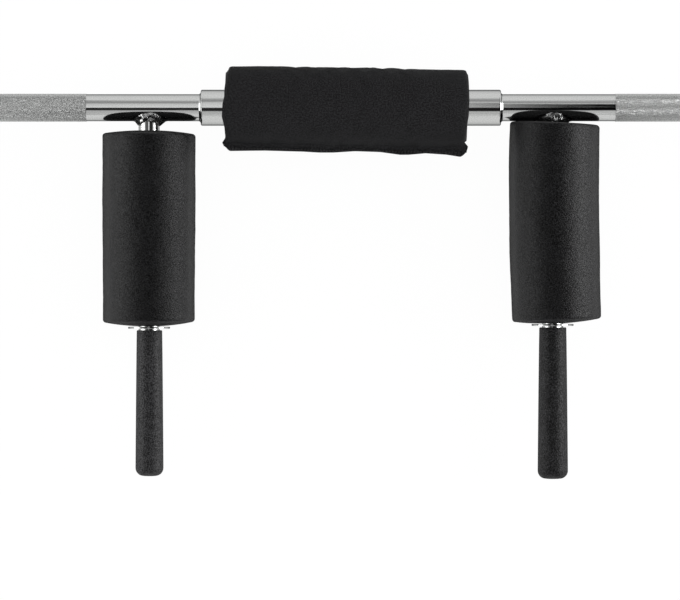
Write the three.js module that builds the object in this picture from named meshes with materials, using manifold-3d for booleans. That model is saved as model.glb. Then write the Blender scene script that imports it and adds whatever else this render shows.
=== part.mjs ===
// A safety squat bar: a straight chromed shaft with a turning weight sleeve at each end, a soft
// roll round its middle for the neck, and two arms that reach forward over the shoulders. Each arm
// carries a foam roller that turns on it, a stop washer and a rubber grip.
//
// Millimetres. The shaft runs along X, the arms point to -Y and +Z is up. The bar lies flat on its
// rollers. The origin is on the floor, below the middle of the object's outer box.

import * as THREE from "three";
import { mergeVertices } from "three/addons/utils/BufferGeometryUtils.js";
import Module from "manifold-3d";

const wasm = await Module();
wasm.setup();

// Fit between pieces that touch or turn on each other, and the overrun of a cutting solid
const clearance = 0.3;
const overrun = 5;

// Shaft, with a journal at each end for the sleeve
const overallLength = 2184;
const shoulderDistance = 1310;
const shaftDiameter = 28.6;
const knurlRise = 0.5;
const knurlMargin = 17.8;
const knurlToShoulder = 15;
const journalDiameter = 25;
const journalToCap = 6;
const shaftChamfer = 1.2;

// Centre tube, with the weld ring that holds each end to the shaft
const centreTubeDiameter = 38.1;
const rollerToCentreTube = 6.55;
const centreTubeChamfer = 1.6;
const weldRingSize = 2;

// Arms, and the weld bead round the foot of each
const armSpacing = 427.7;
const armDiameter = 22.2;
const armWall = 2.5;
const weldAlongShaft = 8;
const weldRoundShaft = 4;
const weldUpArm = 6;
const weldHollowShare = 0.3;

// Stop washers on the arms, just past the rollers
const stopDiameter = 44.4;
const stopThickness = 2;
const stopChamfer = 0.5;

// Foam rollers. They are cut foam, so one is a little longer than the other. Each lies against its
// stop washer, and the right one reaches in over the weld bead.
const rollerDiameter = 96.6;
const leftRollerLength = 208.4;
const rightRollerLength = 212.5;
const rollerDome = 3;
const rollerEdge = 4;
const rollerMouthDiameter = 41;
const rollerMouthDepth = 9;
const leftRollerToShaft = 9.2;
const rightRollerToShaft = 2.1;

// Rubber grips, which swell towards their closed ends
const gripToStop = 1.6;
const leftGripLength = 154.7;
const rightGripLength = 160.7;
const gripEndWall = 5;
const gripMouthDiameter = 27.4;
const gripEndDiameter = 30.4;
const gripMouthEdge = 1;
const gripEndEdge = 6;

// Neck pad: a foam tube in a fabric cover, whose two lips close on hook and loop tape
const padRoom = 30.5;
const padOffset = -5;
const padDiameter = 83;
const padCrown = 0.8;
const padEndRound = 7;
const padDrawIn = 4;
const coverThickness = 1.8;
const coverOverFoam = 1;
const lipLength = 7;
const tapeThickness = 1.2;
const tapeInset = 0.6;
const tapeFromEnd = 10;

// Weight sleeves and collars
const sleeveDiameter = 50;
const sleeveBore = 35;
const sleeveChamfer = 1.5;
const collarDiameter = 75;
const collarThickness = 25;
const collarEdge = 2.5;

// Bushings, and the washer and snap ring that keep each sleeve on its journal
const bushingLength = 40;
const bushingChamfer = 0.8;
const outerBushingToSleeveEnd = 33;
const thrustWasherDiameter = 33;
const thrustWasherThickness = 2;
const thrustWasherChamfer = 0.3;
const snapRingThickness = 1.8;
const snapRingDiameter = 30;
const snapRingGap = 6;
const grooveDepth = 1;

// End caps, each a flange on a plug that fits the sleeve's bore
const capFlange = 3.7;
const capPlug = 14;
const capChamfer = 1.2;
const capDiameter = 48;

// How finely round forms are divided
const largeSides = 40;
const smallSides = 30;
const edgeSteps = 2;
const domeSteps = 3;
const weldSteps = 5;
const coverSteps = 36;
const padEndSteps = 3;

// Radii that follow from the sizes above
const shaftRadius = shaftDiameter / 2;
const knurlRadius = shaftRadius + knurlRise;
const journalRadius = journalDiameter / 2;
const armRadius = armDiameter / 2;
const rollerRadius = rollerDiameter / 2;
const padRadius = padDiameter / 2;
const sleeveRadius = sleeveDiameter / 2;
const sleeveBoreRadius = sleeveBore / 2;
const collarRadius = collarDiameter / 2;
const coverBoreRadius = padRadius - coverThickness;
const foamRadius = coverBoreRadius - clearance;

// Places along the shaft, measured from its middle
const armPlace = armSpacing / 2;
const centreTubeHalf = armPlace - rollerRadius - rollerToCentreTube;
const padHalf = centreTubeHalf - padRoom;
const knurlStart = armPlace + rollerRadius + knurlMargin;
const shoulder = shoulderDistance / 2;
const knurlEnd = shoulder - knurlToShoulder;
const sleeveStart = shoulder + clearance;
const capEnd = overallLength / 2;
const capFlangeStart = capEnd - capFlange;
const capPlugStart = capFlangeStart - capPlug;
const sleeveEnd = capFlangeStart - clearance;
const journalEnd = capPlugStart - journalToCap;
const outerBushingEnd = sleeveEnd - outerBushingToSleeveEnd;
const thrustWasherStart = outerBushingEnd + clearance;
const grooveStart = thrustWasherStart + thrustWasherThickness + clearance;
const grooveEnd = grooveStart + snapRingThickness + 2 * clearance;

// Places along an arm, measured from the shaft's axis
function placesAlongArm(rollerToShaft, rollerLength, gripLength) {
  const rollerStart = shaftRadius + rollerToShaft;
  const rollerEnd = rollerStart + rollerLength;
  const stopStart = rollerEnd + clearance;
  const stopEnd = stopStart + stopThickness;
  const gripStart = stopEnd + gripToStop;
  const gripEnd = gripStart + gripLength;
  const armEnd = gripEnd - gripEndWall - clearance;
  return { rollerStart, rollerEnd, stopStart, stopEnd, gripStart, gripEnd, armEnd };
}
const leftPlaces = placesAlongArm(leftRollerToShaft, leftRollerLength, leftGripLength);
const rightPlaces = placesAlongArm(rightRollerToShaft, rightRollerLength, rightGripLength);
const lipReach = padRadius + lipLength;

// The lips of the cover lie either side of the tapes, half of a fit away from the middle plane
const lipInnerFace = clearance / 2 + tapeThickness + clearance;
const lipOuterFace = lipInnerFace + coverThickness;

// The shaft's axis over the floor and ahead of the origin
const axisHeight = Math.max(rollerRadius, padRadius, collarRadius);
const frontReach = Math.max(leftPlaces.gripEnd, rightPlaces.gripEnd);
const rearReach = Math.max(padRadius, collarRadius);
const axisAhead = (frontReach - rearReach) / 2;

// Finishes
const finish = (color, roughness, metalness) =>
  new THREE.MeshStandardMaterial({ color, roughness, metalness });
const chrome = finish(0xdfe1e3, 0.08, 1);
const knurledChrome = finish(0xd2d4d6, 0.15, 1);
const bronze = finish(0xb08d57, 0.35, 1);
const springSteel = finish(0x55585c, 0.4, 1);
const skinnedFoam = finish(0x2f2f30, 0.7, 0);
const gripRubber = finish(0x2b2b2c, 0.75, 0);
const blackPlastic = finish(0x1c1c1d, 0.45, 0);
const coverFabric = finish(0x242425, 0.9, 0);
const paddingFoam = finish(0x3a3a3c, 0.95, 0);
const tapeFabric = finish(0x151516, 0.95, 0);

// Outlines and solids of revolution

// Turns corners [along, radius, edge] into the points of an outline. A corner with an edge size
// becomes an arc of that radius, which runs into both of its sides.
function outline(corners) {
  const middleOfTurn = new THREE.Vector2();
  const at = ([along, radius]) => new THREE.Vector2(radius, along);
  return corners.flatMap((corner, i) => {
    const here = at(corner);
    const edge = corner[2] ?? 0;
    if (edge === 0) return [here];
    const back = at(corners.at(i - 1)).sub(here).normalize();
    const on = at(corners[(i + 1) % corners.length]).sub(here).normalize();
    const half = Math.acos(back.dot(on)) / 2;
    const inward = back.clone().add(on).normalize();
    const centre = here.clone().addScaledVector(inward, edge / Math.sin(half));
    const start = here.clone().addScaledVector(back, edge / Math.tan(half)).sub(centre);
    const end = here.clone().addScaledVector(on, edge / Math.tan(half)).sub(centre);
    const turn = Math.atan2(start.cross(end), start.dot(end));
    return Array.from({ length: edgeSteps + 1 }, (_, k) =>
      start.clone().rotateAround(middleOfTurn, (turn * k) / edgeSteps).add(centre),
    );
  });
}

// A solid of revolution about +Y. With the radius drawn to the right and the length drawn up, its
// corners run anticlockwise. They start and end on the axis, or are closed on themselves here.
function turned(corners, sides) {
  const points = outline(corners);
  const onAxis = points[0].x === 0;
  if (!onAxis) points.push(points[0].clone());
  return new THREE.LatheGeometry(points, sides);
}

// The corners of a ring of rectangular section, with its two outer edges cut back by a chamfer
function ringCorners(from, to, bore, radius, chamfer) {
  return [
    [from, bore],
    [from, radius - chamfer],
    [from + chamfer, radius],
    [to - chamfer, radius],
    [to, radius - chamfer],
    [to, bore],
  ];
}

// The corners of half a turned piece, with the same in mirror image put before them
const mirrored = (half) => [...half.map(([along, radius]) => [-along, radius]).reverse(), ...half];

// Lay a solid of revolution along the shaft, to +X or to -X, or along an arm, to -Y
const toRight = (geometry) => geometry.rotateZ(-Math.PI / 2);
const toLeft = (geometry) => geometry.rotateZ(Math.PI / 2);
const alongArm = (geometry) => geometry.rotateX(Math.PI);

// Solids that are joined and cut

function solidOf(geometry) {
  const bare = geometry.clone();
  bare.deleteAttribute("normal");
  bare.deleteAttribute("uv");
  const merged = mergeVertices(bare);
  const vertProperties = new Float32Array(merged.attributes.position.array);
  const triVerts = new Uint32Array(merged.index.array);
  return new wasm.Manifold(new wasm.Mesh({ numProp: 3, vertProperties, triVerts }));
}

function geometryOf(solid) {
  const { vertProperties, triVerts } = solid.getMesh();
  const geometry = new THREE.BufferGeometry();
  geometry.setAttribute("position", new THREE.BufferAttribute(vertProperties, 3));
  geometry.setIndex(new THREE.BufferAttribute(triVerts, 1));
  return geometry;
}

// Skins through rings of points

function surface(rings, faces) {
  const positions = rings.flat().flatMap((p) => [p.x, p.y, p.z]);
  const geometry = new THREE.BufferGeometry();
  geometry.setAttribute("position", new THREE.Float32BufferAttribute(positions, 3));
  geometry.setIndex(faces);
  return geometry;
}

// The faces between one ring of points and the next, given each ring's first point and its length
function band(here, next, count) {
  return Array.from({ length: count }, (_, j) => {
    const k = (j + 1) % count;
    return [here + j, next + j, next + k, here + j, next + k, here + k];
  }).flat();
}

// A closed skin whose last ring joins its first, as on a bead that goes all the way round
function loopSkin(rings) {
  const count = rings[0].length;
  const faces = rings.flatMap((_, i) => band(i * count, ((i + 1) % rings.length) * count, count));
  return surface(rings, faces);
}

// A closed skin of a folded sheet. Half of each ring runs along one face of the sheet and half
// back along the other, and each end is filled between the two.
function sheetSkin(rings) {
  const count = rings[0].length;
  const last = (rings.length - 1) * count;
  const faces = rings.slice(1).flatMap((_, i) => band(i * count, (i + 1) * count, count));
  for (let j = 0; j < count / 2 - 1; j += 1) {
    const across = count - 1 - j;
    faces.push(j, j + 1, across - 1, j, across - 1, across);
    faces.push(last + j, last + across - 1, last + j + 1, last + j, last + across, last + across - 1);
  }
  return surface(rings, faces);
}

// Shaft and centre tube

// The shaft from its middle out: polished, knurled, polished to the shoulder, then the journal with
// the snap ring's groove
function shaftGeometry() {
  const groove = journalRadius - grooveDepth;
  const half = [
    [knurlStart, shaftRadius],
    [knurlStart + knurlRise, knurlRadius],
    [knurlEnd - knurlRise, knurlRadius],
    [knurlEnd, shaftRadius],
    [shoulder - shaftChamfer, shaftRadius],
    [shoulder, shaftRadius - shaftChamfer],
    [shoulder, journalRadius],
    [grooveStart, journalRadius],
    [grooveStart, groove],
    [grooveEnd, groove],
    [grooveEnd, journalRadius],
    [journalEnd - shaftChamfer, journalRadius],
    [journalEnd, journalRadius - shaftChamfer],
    [journalEnd, 0],
  ];
  return toRight(turned(mirrored(half), largeSides));
}

function centreTubeGeometry() {
  const bore = shaftRadius + clearance;
  const radius = centreTubeDiameter / 2;
  const half = [
    [centreTubeHalf - centreTubeChamfer, radius],
    [centreTubeHalf, radius - centreTubeChamfer],
    [centreTubeHalf, bore + weldRingSize],
    [centreTubeHalf + weldRingSize, bore],
  ];
  return toRight(turned(mirrored(half), largeSides));
}

// Arms

// One section of the weld bead, at an angle round the arm. Its face runs in a hollow curve from a
// toe on the shaft to a toe on the arm, and it closes inside the tube's wall and the shaft.
function weldSection(angle) {
  const along = Math.sin(angle);
  const up = Math.cos(angle);
  const wallMiddle = armRadius - armWall / 2;
  const depthAt = (radius) => Math.sqrt(shaftRadius ** 2 - (radius * up) ** 2);
  const onArm = (radius, depth) => new THREE.Vector3(radius * along, depth, radius * up);
  const rootTurn = Math.asin((armRadius * up) / shaftRadius);
  const toeTurn = rootTurn + (weldRoundShaft * up) / shaftRadius;
  const shaftToe = new THREE.Vector3(
    (armRadius + weldAlongShaft) * along,
    shaftRadius * Math.cos(toeTurn),
    shaftRadius * Math.sin(toeTurn),
  );
  const root = onArm(armRadius, depthAt(armRadius));
  const armToe = onArm(armRadius, depthAt(armRadius) + weldUpArm);
  const chordMiddle = shaftToe.clone().lerp(armToe, 1 / 2);
  const hollow = root.clone().lerp(chordMiddle, weldHollowShare);
  const face = new THREE.QuadraticBezierCurve3(shaftToe, hollow, armToe).getPoints(weldSteps);
  const inWall = onArm(wallMiddle, depthAt(armRadius) + weldUpArm);
  const inShaft = onArm(wallMiddle, depthAt(wallMiddle) - armWall);
  return [...face, inWall, inShaft];
}

// An arm is a tube with its foot cut to the shaft's round, together with its weld bead. It ends
// inside the grip.
function armGeometry({ armEnd }) {
  const tube = turned(ringCorners(0, armEnd, armRadius - armWall, armRadius, armWall / 4), smallSides);
  const angles = Array.from({ length: smallSides }, (_, i) => (i / smallSides) * 2 * Math.PI);
  const bead = loopSkin(angles.map(weldSection));
  const cutHalf = armRadius + weldAlongShaft + overrun;
  const cutRadius = shaftRadius + clearance;
  const cutCorners = mirrored([[cutHalf, cutRadius], [cutHalf, 0]]);
  const cut = toRight(turned(cutCorners, largeSides));
  return alongArm(geometryOf(solidOf(tube).add(solidOf(bead)).subtract(solidOf(cut))));
}

function stopWasherGeometry({ stopStart, stopEnd }) {
  const bore = armRadius + clearance;
  const corners = ringCorners(stopStart, stopEnd, bore, stopDiameter / 2, stopChamfer);
  return alongArm(turned(corners, smallSides));
}

// A foam roller bulges a little at both ends. The mouth of its bore opens at the inner end, where
// the foam gives way to the weld bead.
function rollerGeometry({ rollerStart, rollerEnd }) {
  const bore = armRadius + clearance;
  const mouth = rollerMouthDiameter / 2;
  const domeAt = (radius) => rollerDome * (radius / rollerRadius) ** 2;
  const radiiFrom = (inner) =>
    Array.from({ length: domeSteps }, (_, i) => THREE.MathUtils.lerp(inner, rollerRadius, i / domeSteps));
  const corners = [
    [rollerStart + rollerMouthDepth, bore],
    ...radiiFrom(mouth).map((radius) => [rollerStart + domeAt(radius), radius]),
    [rollerStart + rollerDome, rollerRadius, rollerEdge],
    [rollerEnd - rollerDome, rollerRadius, rollerEdge],
    ...radiiFrom(bore).reverse().map((radius) => [rollerEnd - domeAt(radius), radius]),
  ];
  return alongArm(turned(corners, largeSides));
}

// A grip is a closed sleeve over the arm's end
function gripGeometry({ gripStart, gripEnd }) {
  const bore = armRadius + clearance;
  const corners = [
    [gripEnd - gripEndWall, 0],
    [gripEnd - gripEndWall, bore],
    [gripStart, bore],
    [gripStart, gripMouthDiameter / 2, gripMouthEdge],
    [gripEnd, gripEndDiameter / 2, gripEndEdge],
    [gripEnd, 0],
  ];
  return alongArm(turned(corners, smallSides));
}

// Neck pad

// Stations along the pad, from its middle to one end: [place, how far the surface is drawn in].
// The surface falls off slightly from the middle, and turns in by a quarter ellipse at the end.
function padHalfStations() {
  const straight = padHalf - padEndRound;
  const crownAt = (place) => padCrown * (place / padHalf) ** 2;
  const shares = [0, 1 / 3, 2 / 3, 1];
  const body = shares.map((share) => [straight * share, crownAt(straight * share)]);
  const turns = Array.from({ length: padEndSteps }, (_, k) => ((k + 1) / padEndSteps) * (Math.PI / 2));
  const ends = turns.map((turn) => [
    straight + padEndRound * Math.sin(turn),
    crownAt(straight) + padDrawIn * (1 - Math.cos(turn)),
  ]);
  return [...body, ...ends];
}

// One face of the cover's section, from the tip of the upper lip back over the roll and under it to
// the tip of the lower lip, as points [y, z]
function coverFace(radius, lipFace) {
  const lipTurn = Math.asin(lipFace / radius);
  const most = Math.PI - lipTurn;
  const turns = Array.from({ length: coverSteps + 1 }, (_, k) => most - (2 * most * k) / coverSteps);
  const roll = turns.map((turn) => [radius * Math.cos(turn), radius * Math.sin(turn)]);
  return [[-lipReach, lipFace], ...roll, [-lipReach, -lipFace]];
}

function coverGeometry() {
  const outer = coverFace(padRadius, lipOuterFace);
  const inner = coverFace(coverBoreRadius, lipInnerFace).reverse();
  const half = padHalfStations();
  const stations = [...half.slice(1).map(([place, drawn]) => [-place, drawn]).reverse(), ...half];
  const rings = stations.map(([place, drawn]) =>
    [...outer, ...inner].map(([y, z]) => {
      const kept = 1 - drawn / Math.hypot(y, z);
      return new THREE.Vector3(place, y * kept, z * kept);
    }),
  );
  return sheetSkin(rings);
}

function padFoamGeometry() {
  const bore = centreTubeDiameter / 2 + clearance;
  const stations = padHalfStations();
  const endPlace = padHalf - coverOverFoam;
  const inside = stations.filter(([place]) => place < endPlace);
  const endDrawn = stations.at(-1)[1];
  const half = [
    ...inside.slice(1).map(([place, drawn]) => [place, foamRadius - drawn]),
    [endPlace, foamRadius - endDrawn],
    [endPlace, bore],
  ];
  return toRight(turned(mirrored(half), largeSides));
}

// A strip of tape against the inside of one lip
function tapeGeometry() {
  const length = 2 * (padHalf - tapeFromEnd);
  const width = lipReach - coverBoreRadius - 2 * tapeInset;
  return new THREE.BoxGeometry(length, width, tapeThickness);
}

// Weight sleeves

function sleeveGeometry() {
  const corners = [
    [sleeveStart, sleeveBoreRadius],
    [sleeveStart, sleeveRadius],
    [sleeveEnd - sleeveChamfer, sleeveRadius],
    [sleeveEnd, sleeveRadius - sleeveChamfer],
    [sleeveEnd, sleeveBoreRadius],
  ];
  return turned(corners, largeSides);
}

function collarGeometry() {
  const bore = sleeveRadius + clearance;
  const collarEnd = sleeveStart + collarThickness;
  const corners = [
    [sleeveStart, bore],
    [sleeveStart, collarRadius, collarEdge],
    [collarEnd, collarRadius, collarEdge],
    [collarEnd, bore],
  ];
  return turned(corners, largeSides);
}

function bushingGeometry(start) {
  const bore = journalRadius + clearance;
  const radius = sleeveBoreRadius - clearance;
  return turned(ringCorners(start, start + bushingLength, bore, radius, bushingChamfer), smallSides);
}

function thrustWasherGeometry() {
  const bore = journalRadius + clearance;
  const end = thrustWasherStart + thrustWasherThickness;
  const radius = thrustWasherDiameter / 2;
  return turned(ringCorners(thrustWasherStart, end, bore, radius, thrustWasherChamfer), smallSides);
}

// A snap ring is open at one place so that it can be spread over the journal's end
function snapRingGeometry() {
  const inner = journalRadius - grooveDepth + clearance;
  const outer = snapRingDiameter / 2;
  const open = Math.asin(snapRingGap / 2 / inner);
  const shape = new THREE.Shape();
  shape.absarc(0, 0, outer, open, 2 * Math.PI - open, false);
  shape.absarc(0, 0, inner, 2 * Math.PI - open, open, true);
  shape.closePath();
  const settings = { depth: snapRingThickness, curveSegments: smallSides / 2, bevelEnabled: false };
  const flat = new THREE.ExtrudeGeometry(shape, settings);
  return flat.rotateX(-Math.PI / 2).translate(0, grooveStart + clearance, 0);
}

function endCapGeometry() {
  const plug = sleeveBoreRadius - clearance;
  const radius = capDiameter / 2;
  const corners = [
    [capPlugStart, 0],
    [capPlugStart, plug - capChamfer],
    [capPlugStart + capChamfer, plug],
    [capFlangeStart, plug],
    [capFlangeStart, radius],
    [capEnd - capChamfer, radius],
    [capEnd, radius - capChamfer],
    [capEnd, 0],
  ];
  return turned(corners, largeSides);
}

// The object

const bar = new THREE.Group();
bar.position.set(0, axisAhead, axisHeight);

function place(name, geometry, material, parent = bar) {
  const mesh = new THREE.Mesh(geometry, material);
  mesh.name = name;
  parent.add(mesh);
  return mesh;
}

place("shaft", shaftGeometry(), knurledChrome);
place("centre_tube", centreTubeGeometry(), chrome);

const neckPad = new THREE.Group();
neckPad.position.x = padOffset;
bar.add(neckPad);
const tapeMiddle = -(coverBoreRadius + lipReach) / 2;
const tapeHeight = (clearance + tapeThickness) / 2;
place("neck_pad_foam", padFoamGeometry(), paddingFoam, neckPad);
place("neck_pad_cover", coverGeometry(), coverFabric, neckPad);
const hookTape = place("neck_pad_hook_tape", tapeGeometry(), tapeFabric, neckPad);
const loopTape = place("neck_pad_loop_tape", tapeGeometry(), tapeFabric, neckPad);
hookTape.position.set(0, tapeMiddle, tapeHeight);
loopTape.position.set(0, tapeMiddle, -tapeHeight);

const sides = [
  { side: "left", armAt: -armPlace, outward: toLeft, places: leftPlaces },
  { side: "right", armAt: armPlace, outward: toRight, places: rightPlaces },
];

for (const { side, armAt, outward, places } of sides) {
  const armGroup = new THREE.Group();
  armGroup.position.x = armAt;
  bar.add(armGroup);
  place(`${side}_arm`, armGeometry(places), chrome, armGroup);
  place(`${side}_stop_washer`, stopWasherGeometry(places), chrome, armGroup);
  place(`${side}_roller`, rollerGeometry(places), skinnedFoam, armGroup);
  place(`${side}_grip`, gripGeometry(places), gripRubber, armGroup);

  place(`${side}_sleeve`, outward(sleeveGeometry()), chrome);
  place(`${side}_collar`, outward(collarGeometry()), chrome);
  place(`${side}_inner_bushing`, outward(bushingGeometry(sleeveStart)), bronze);
  place(`${side}_outer_bushing`, outward(bushingGeometry(outerBushingEnd - bushingLength)), bronze);
  place(`${side}_thrust_washer`, outward(thrustWasherGeometry()), springSteel);
  place(`${side}_snap_ring`, outward(snapRingGeometry()), springSteel);
  place(`${side}_end_cap`, outward(endCapGeometry()), blackPlastic);
}

export default bar;
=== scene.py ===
"""A safety squat bar, dressed over its packed CAD model.

A chromed shaft with knurled grips runs along X, with a turning weight sleeve at each end. A soft
roll sits round its middle, and two arms reach towards -Y with a foam roller, a stop washer and a
rubber grip on each. The bar lies flat on its rollers, on the floor. Everything is in metres, in
the frame of the CAD model.
"""

from functools import partial

import bmesh
import bpy
import numpy as np
from bpy.props import FloatProperty, FloatVectorProperty, PointerProperty
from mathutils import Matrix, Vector


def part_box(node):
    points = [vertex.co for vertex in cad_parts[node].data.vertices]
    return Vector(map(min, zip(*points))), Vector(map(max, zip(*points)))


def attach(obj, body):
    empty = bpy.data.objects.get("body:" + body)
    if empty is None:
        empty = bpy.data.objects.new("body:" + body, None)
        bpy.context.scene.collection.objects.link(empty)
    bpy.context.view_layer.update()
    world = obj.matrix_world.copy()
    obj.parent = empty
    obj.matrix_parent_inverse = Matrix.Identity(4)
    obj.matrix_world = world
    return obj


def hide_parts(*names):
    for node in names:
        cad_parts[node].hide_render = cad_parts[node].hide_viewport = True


bl_info = {
    "name": "Safety squat bar",
    "version": (1, 0, 0),
    "blender": (4, 5, 0),
    "location": "View3D > Sidebar > Squat bar",
    "description": "Builds a safety squat bar with its neck pad, rollers, grips and sleeves",
    "category": "Object",
}

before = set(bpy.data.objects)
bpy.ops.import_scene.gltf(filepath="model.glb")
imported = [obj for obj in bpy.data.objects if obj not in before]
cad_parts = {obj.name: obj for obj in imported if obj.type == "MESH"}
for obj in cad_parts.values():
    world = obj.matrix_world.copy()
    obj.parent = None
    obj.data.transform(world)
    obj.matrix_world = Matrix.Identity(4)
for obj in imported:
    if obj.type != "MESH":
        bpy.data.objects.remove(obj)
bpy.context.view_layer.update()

# Where the shaft's axis runs, and how far along it the arms stand
SHAFT_BOX = np.array(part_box("shaft"))
AXIS = np.array([0.0, *SHAFT_BOX.mean(axis=0)[1:]])
ARM_PLACE = float(np.array(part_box("right_stop_washer")).mean(axis=0)[0])
SIDES = {"left": -1, "right": 1}

X, Y, Z = np.eye(3)


def reach(node, axis=0):
    """How far a node reaches from the shaft's middle: nearest and farthest, along X or -Y."""
    box = np.array(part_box(node))
    if axis == 0:
        ends = np.abs(box[:, 0])
    else:
        ends = AXIS[1] - box[:, 1]
    return float(ends.min()), float(ends.max())


def linear(colour):
    """The linear light values of an sRGB colour written as #rrggbb."""
    parts = np.array([int(colour[i : i + 2], 16) for i in (1, 3, 5)]) / 255
    light = np.where(parts <= 0.04045, parts / 12.92, ((parts + 0.055) / 1.055) ** 2.4)
    return tuple(float(part) for part in light)


# What a user may change


def length_of(name, about, default, least=0.0):
    """A length in metres, shown in the scene's unit."""
    return FloatProperty(name=name, description=about, default=default, min=least, unit="LENGTH", precision=5)


def colour_of(name, about, default):
    """A colour, written as sRGB and kept as linear light."""
    return FloatVectorProperty(
        name=name, description=about, default=linear(default), subtype="COLOR", min=0.0, max=1.0
    )


class SteelSizes(bpy.types.PropertyGroup):
    """Sizes of the shaft, its tubes and the sleeves"""

    shaft_diameter: length_of("Shaft", "Diameter of the polished shaft", 0.0286)
    knurl_pitch: length_of("Knurl pitch", "Length and width of one diamond of the knurl", 0.0018)
    knurl_rise: length_of("Knurl rise", "Height of the knurl's points over the shaft", 0.00052)
    knurl_depth: length_of("Knurl depth", "Depth of the knurl's grooves below its points", 0.00036)
    knurl_stray: length_of("Knurl stray", "How far a corner of the knurl may lie from its place", 0.00008)
    tube_diameter: length_of("Centre tube", "Diameter of the tube under the neck pad", 0.0381)
    tube_round: length_of("Tube end", "Rounding of the centre tube's ends", 0.0016)
    tube_weld: length_of("Tube weld", "Size of the weld at the centre tube's ends", 0.002)
    arm_diameter: length_of("Arms", "Diameter of the arms", 0.0222)
    weld_along: length_of("Weld along shaft", "Reach of an arm's weld along the shaft", 0.0077)
    weld_lean: length_of("Weld lean", "How much more the weld reaches on one side", 0.0013)
    weld_round: length_of("Weld round shaft", "Reach of an arm's weld round the shaft", 0.004)
    weld_up: length_of("Weld up arm", "Height of the weld on the arm", 0.006)
    weld_ripple: length_of("Weld ripple", "Height of the ripples in the weld", 0.0006)
    weld_lump: length_of("Weld lumps", "Height of the lumps in the weld", 0.0009)
    stop_diameter: length_of("Stop washers", "Diameter of the stop washers", 0.0444)
    sleeve_bore: length_of("Sleeve bore", "Inner diameter of the sleeves", 0.035)
    journal_diameter: length_of("Journals", "Diameter of the shaft in its bushings", 0.025)
    collar_round: length_of("Collar edge", "Rounding of the collars' edges", 0.0025)


class FoamSizes(bpy.types.PropertyGroup):
    """Sizes of the rollers and the grips"""

    roller_diameter: length_of("Rollers", "Diameter of the foam rollers", 0.0966)
    roller_dome: length_of("Roller dome", "How far a roller's ends swell", 0.0038)
    roller_edge: length_of("Roller edge", "Rounding of the rollers' edges", 0.0035)
    mouth_diameter: length_of("Roller mouth", "Opening that clears the weld", 0.041)
    mouth_depth: length_of("Mouth depth", "Depth of that opening", 0.009)
    grip_mouth: length_of("Grip mouth", "Diameter of a grip at its open end", 0.0274)
    grip_end: length_of("Grip end", "Diameter of a grip at its closed end", 0.0304)
    grip_round: length_of("Grip rounding", "Rounding of a grip's closed end", 0.0085)
    grip_dome: length_of("Grip dome", "How far a grip's closed end swells", 0.0013)


class PadSizes(bpy.types.PropertyGroup):
    """Sizes of the neck pad"""

    diameter: length_of("Neck pad", "Diameter of the padded roll", 0.0844)
    cover_thickness: length_of("Cover", "Thickness of the cover's fabric", 0.0018)
    end_round: length_of("End rounding", "Rounding of the roll's ends", 0.006)
    draw_in: length_of("Draw in", "How far the cover is drawn in at its ends", 0.0034)
    pull: length_of("Pull", "How far the lips pull the roll in along the seam", 0.0022)
    crease: length_of("Crease", "Rounding where the roll turns into its lips", 0.0055)
    wrinkle: length_of("Wrinkles", "Height of the folds that run off the seam", 0.00055)
    stitch: length_of("Stitch", "Length of a stitch", 0.0026)
    thread: length_of("Thread", "Thickness of the sewing thread", 0.0007)
    slack: FloatProperty(
        name="Slack", description="Share by which the cover is cut too large", default=0.01, min=0.0, max=0.1
    )
    tilt: FloatProperty(
        name="Tilt", description="How far the pad has turned askew", default=np.radians(-1.0), subtype="ANGLE"
    )


class Finishes(bpy.types.PropertyGroup):
    """Colours of the finishes"""

    chrome: colour_of("Chrome", "Chromium plate", "#C6C7C6")
    bronze: colour_of("Bronze", "Sintered bronze", "#B08D57")
    black_steel: colour_of("Spring steel", "Blackened spring steel", "#55585C")
    foam_skin: colour_of("Foam", "Skin of the foam rollers", "#080809")
    rubber: colour_of("Rubber", "Rubber of the grips", "#1B1B1C")
    cap_plastic: colour_of("End caps", "Plastic of the end caps", "#1C1C1D")
    cover: colour_of("Cover", "Fabric of the neck pad", "#1A1A1B")
    padding: colour_of("Padding", "Foam inside the neck pad", "#3A3A3C")
    tape: colour_of("Tape", "Hook and loop tape", "#151516")
    thread: colour_of("Thread", "Sewing thread", "#131314")
    floor: colour_of("Floor", "Pale studio floor", "#F4F4F4")


GROUPS = {"bar_steel": SteelSizes, "bar_foam": FoamSizes, "bar_pad": PadSizes, "bar_finish": Finishes}


# Roundings of edges, from nearly sharp to soft
HAIR_EDGE, CREST_EDGE, FINE_EDGE, SOFT_EDGE = 0.0003, 0.0004, 0.0006, 0.0008
GRIP_EDGE, JOURNAL_ROUND, CAP_ROUND, SLEEVE_ROUND = 0.0011, 0.0012, 0.0014, 0.0015

# Fits and places that follow the CAD model
FIT = 0.0003
KNURL_MARGIN = 0.0178
KNURL_TO_SHOULDER = 0.015
GROOVE_DEPTH = 0.001
MOUTH_CHAMFER = (0.002, 0.0015)
GRIP_WALL = 0.005
CAP_RIM, CAP_SLOPE, CAP_DISH = 0.0045, 0.0062, 0.0007
COLLAR_LAP = 0.0001

# How close points are merged, and how finely round pieces are drawn
MERGE = 1e-7
ROUND_SIDES = 128
SLEEVE_SIDES = 112
ARM_SIDES, ARM_RINGS = 72, 24
WELD_SIDES, WELD_RINGS = 240, 15
PADDING_SIDES = 96

# The knurl: the seed of its strays, how much of its points is worn away at most and in which
# waves, and how much narrower its closed ends are. Waves are given as a seed, the shortest and
# the longest of them in metres and, where it isn't ten, how many there are.
KNURL_SEED = 7
KNURL_WEAR = 0.12
KNURL_WEAR_WAVES = (3, 0.004, 0.02)
KNURL_CAP_INSET = 0.0002

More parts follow.
